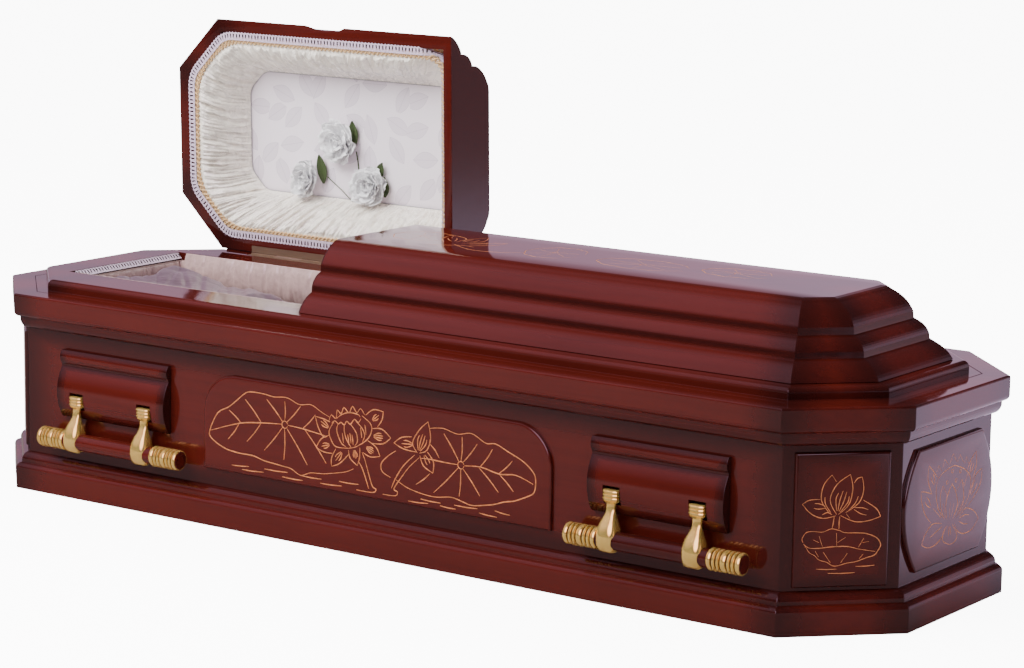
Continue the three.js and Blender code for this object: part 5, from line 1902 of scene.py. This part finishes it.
class OBJECT_OT_casket_stage(bpy.types.Operator):
    """Sets the pale floor, the soft studio light and the camera"""
    bl_idname = "object.casket_stage"
    bl_label = "Stage"

    def execute(self, context):
        self.camera(context.scene)
        self.floor()
        self.world(context.scene)
        key = softbox("key_softbox", (-1.6, -2.6, 3.6), (0, 0, 0.3), (4.0, 2.4), 410)
        fill = softbox("fill_softbox", (3.4, -3.4, 2.4), (0.2, 0, 0.4), (3.0, 2.0), 6)
        behind = softbox("back_softbox", (1.6, 3.8, 3.2), (1.0, 1.2, 0), (4.0, 2.0), 100)
        for light in (key, fill, behind):
            light.visible_glossy = False
        return {"FINISHED"}

    def camera(self, scene):
        lens = bpy.data.cameras.new("photo_camera")
        lens.sensor_width = SENSOR
        lens.lens = SENSOR * FOCAL_PIXELS / PHOTO_WIDTH
        lens.shift_x = (PHOTO_WIDTH / 2 - CENTRE_PIXEL[0]) / PHOTO_WIDTH
        lens.shift_y = (CENTRE_PIXEL[1] - PHOTO_HEIGHT / 2) / PHOTO_WIDTH
        lens.clip_end = 100
        obj = bpy.data.objects.new("photo_camera", lens)
        scene.collection.objects.link(obj)
        swing, down, roll = CAMERA_SWING, CAMERA_DOWN, CAMERA_ROLL
        ahead = Vector((-math.sin(swing) * math.cos(down), math.cos(swing) * math.cos(down), -math.sin(down)))
        right = Vector((math.cos(swing), math.sin(swing), 0))
        up = right.cross(ahead)
        across = math.cos(roll) * right + math.sin(roll) * up
        above = math.cos(roll) * up - math.sin(roll) * right
        turn = Matrix((across, above, -ahead)).transposed()
        obj.matrix_world = Matrix.Translation(Vector(CAMERA_AT) * MM) @ turn.to_4x4()
        scene.camera = obj

    def floor(self):
        bm = bmesh.new()
        bmesh.ops.create_grid(bm, x_segments=1, y_segments=1, size=30)
        obj = bpy.data.objects.new("pale_floor", as_mesh(bm, "pale_floor"))
        bpy.context.scene.collection.objects.link(obj)
        material, add, shader = new_material("Matt Paper Floor")
        point = object_point(add)
        parts = add("SeparateXYZ", point).node.outputs
        # Mirrored in the lacquer, the paper is bright behind and to the right, dim in front
        far = add("Math", parts[1], 0.85, add("Math", parts[0], 0.5, operation="MULTIPLY"),
            operation="MULTIPLY_ADD")
        dim, bright = (0.16, 0.13, 0.14, 1), (0.78, 0.61, 0.86, 1)
        mirrored = add("Mix", {0: add("MapRange", far, 0.32, 1.1), 6: dim, 7: bright}, output=2,
            data_type="RGBA")
        mirrored = add("Mix", {0: add("MapRange", far, 2.4, 5.5), 6: mirrored, 7: (0.4, 0.24, 0.29, 1)},
            output=2, data_type="RGBA")
        ray = add("LightPath").node.outputs
        # The paper is lit from behind as well, so that it comes out white
        fill(shader, {"Base Color": add("Mix", {0: ray["Is Glossy Ray"], 6: rgba(colours().stage),
            7: mirrored}, output=2, data_type="RGBA"), "Emission Color": (1, 1, 1, 1),
            "Emission Strength": add("Math", ray["Is Camera Ray"], 9.0, operation="MULTIPLY"),
            "Roughness": 0.9, "Specular IOR Level": 0.1})
        obj.data.materials.append(material)

    def world(self, scene):
        """Even light all round. In reflections: a pale backdrop low down behind, a soft glow
        high up in front to the left, and a dim room elsewhere."""
        world = bpy.data.worlds.new("studio")
        world.use_nodes = True
        world.node_tree.nodes.clear()
        add = partial(add_node, world.node_tree)
        point = add("TexCoord", output="Generated")
        axes = add("SeparateXYZ", point).node.outputs
        low = add("MapRange", axes[2], 0.16, 0.42, 1, 0)
        behind = add("MapRange", add("Math", axes[0], 0.3, axes[1], operation="MULTIPLY_ADD"), -0.1, 0.5)
        right = add("MapRange", add("Math", axes[0], 0.55, axes[1], operation="MULTIPLY_ADD"), 0.47, 0.62,
            0.7, 1.0)
        backdrop = add("Math", add("Math", low, behind, operation="MULTIPLY"), right, operation="MULTIPLY")
        toward = add("VectorMath", point, GLOW_FROM, operation="DOT_PRODUCT", output="Value")
        glow = add("MapRange", toward, 0.7, 0.99, 0, 0.7)
        card = add("VectorMath", point, CARD_FROM, operation="DOT_PRODUCT", output="Value")
        card = add("MapRange", card, 0.84, 0.94, 0, 5.0)
        glow = add("Math", glow, card, operation="MAXIMUM")
        shine = add("Math", add("Math", backdrop, 0.92, 0.07, operation="MULTIPLY_ADD"), glow,
            operation="MAXIMUM")
        even = add("MapRange", axes[2], -0.2, 0.9, 1.15, 1.55)
        corner = add("Math", axes[0], axes[1], operation="SUBTRACT")
        even = add("Math", even, add("MapRange", corner, 0.2, 1.3, 1, 0.36), operation="MULTIPLY")
        path = add("LightPath").node.outputs
        tint = add("Mix", {0: path["Is Glossy Ray"], 6: (1, 0.985, 0.97, 1), 7: (0.95, 0.65, 0.9, 1)},
            output=2, data_type="RGBA")
        strength = add("Mix", {0: path["Is Glossy Ray"], 2: even, 3: shine})
        back = add("Background", {"Color": tint, "Strength": strength})
        add("OutputWorld", {"Surface": back})
        scene.world = world


class VIEW3D_PT_casket(bpy.types.Panel):
    bl_label = "Casket"
    bl_space_type = "VIEW_3D"
    bl_region_type = "UI"
    bl_category = "Casket"

    def draw(self, context):
        layout = self.layout
        for group in (context.scene.casket_sizes, context.scene.casket_colours):
            box = layout.box()
            for name in group.__annotations__:
                box.prop(group, name)
        for step in STEPS:
            layout.operator(step.bl_idname)


STEPS = (
    OBJECT_OT_casket_woodwork,
    OBJECT_OT_casket_lids,
    OBJECT_OT_casket_panels,
    OBJECT_OT_casket_handles,
    OBJECT_OT_casket_lid_linings,
    OBJECT_OT_casket_flowers,
    OBJECT_OT_casket_box_lining,
    OBJECT_OT_casket_bedding,
    OBJECT_OT_casket_stage,
)
CLASSES = (CasketSizes, CasketColours, *STEPS, VIEW3D_PT_casket)


def register():
    for cls in CLASSES:
        bpy.utils.register_class(cls)
    bpy.types.Scene.casket_sizes = bpy.props.PointerProperty(type=CasketSizes)
    bpy.types.Scene.casket_colours = bpy.props.PointerProperty(type=CasketColours)


def unregister():
    del bpy.types.Scene.casket_colours
    del bpy.types.Scene.casket_sizes
    for cls in reversed(CLASSES):
        bpy.utils.unregister_class(cls)


def main():
    register()
    for step in STEPS:
        group, name = step.bl_idname.split(".")
        getattr(getattr(bpy.ops, group), name)()


if __name__ == "__main__":
    main()
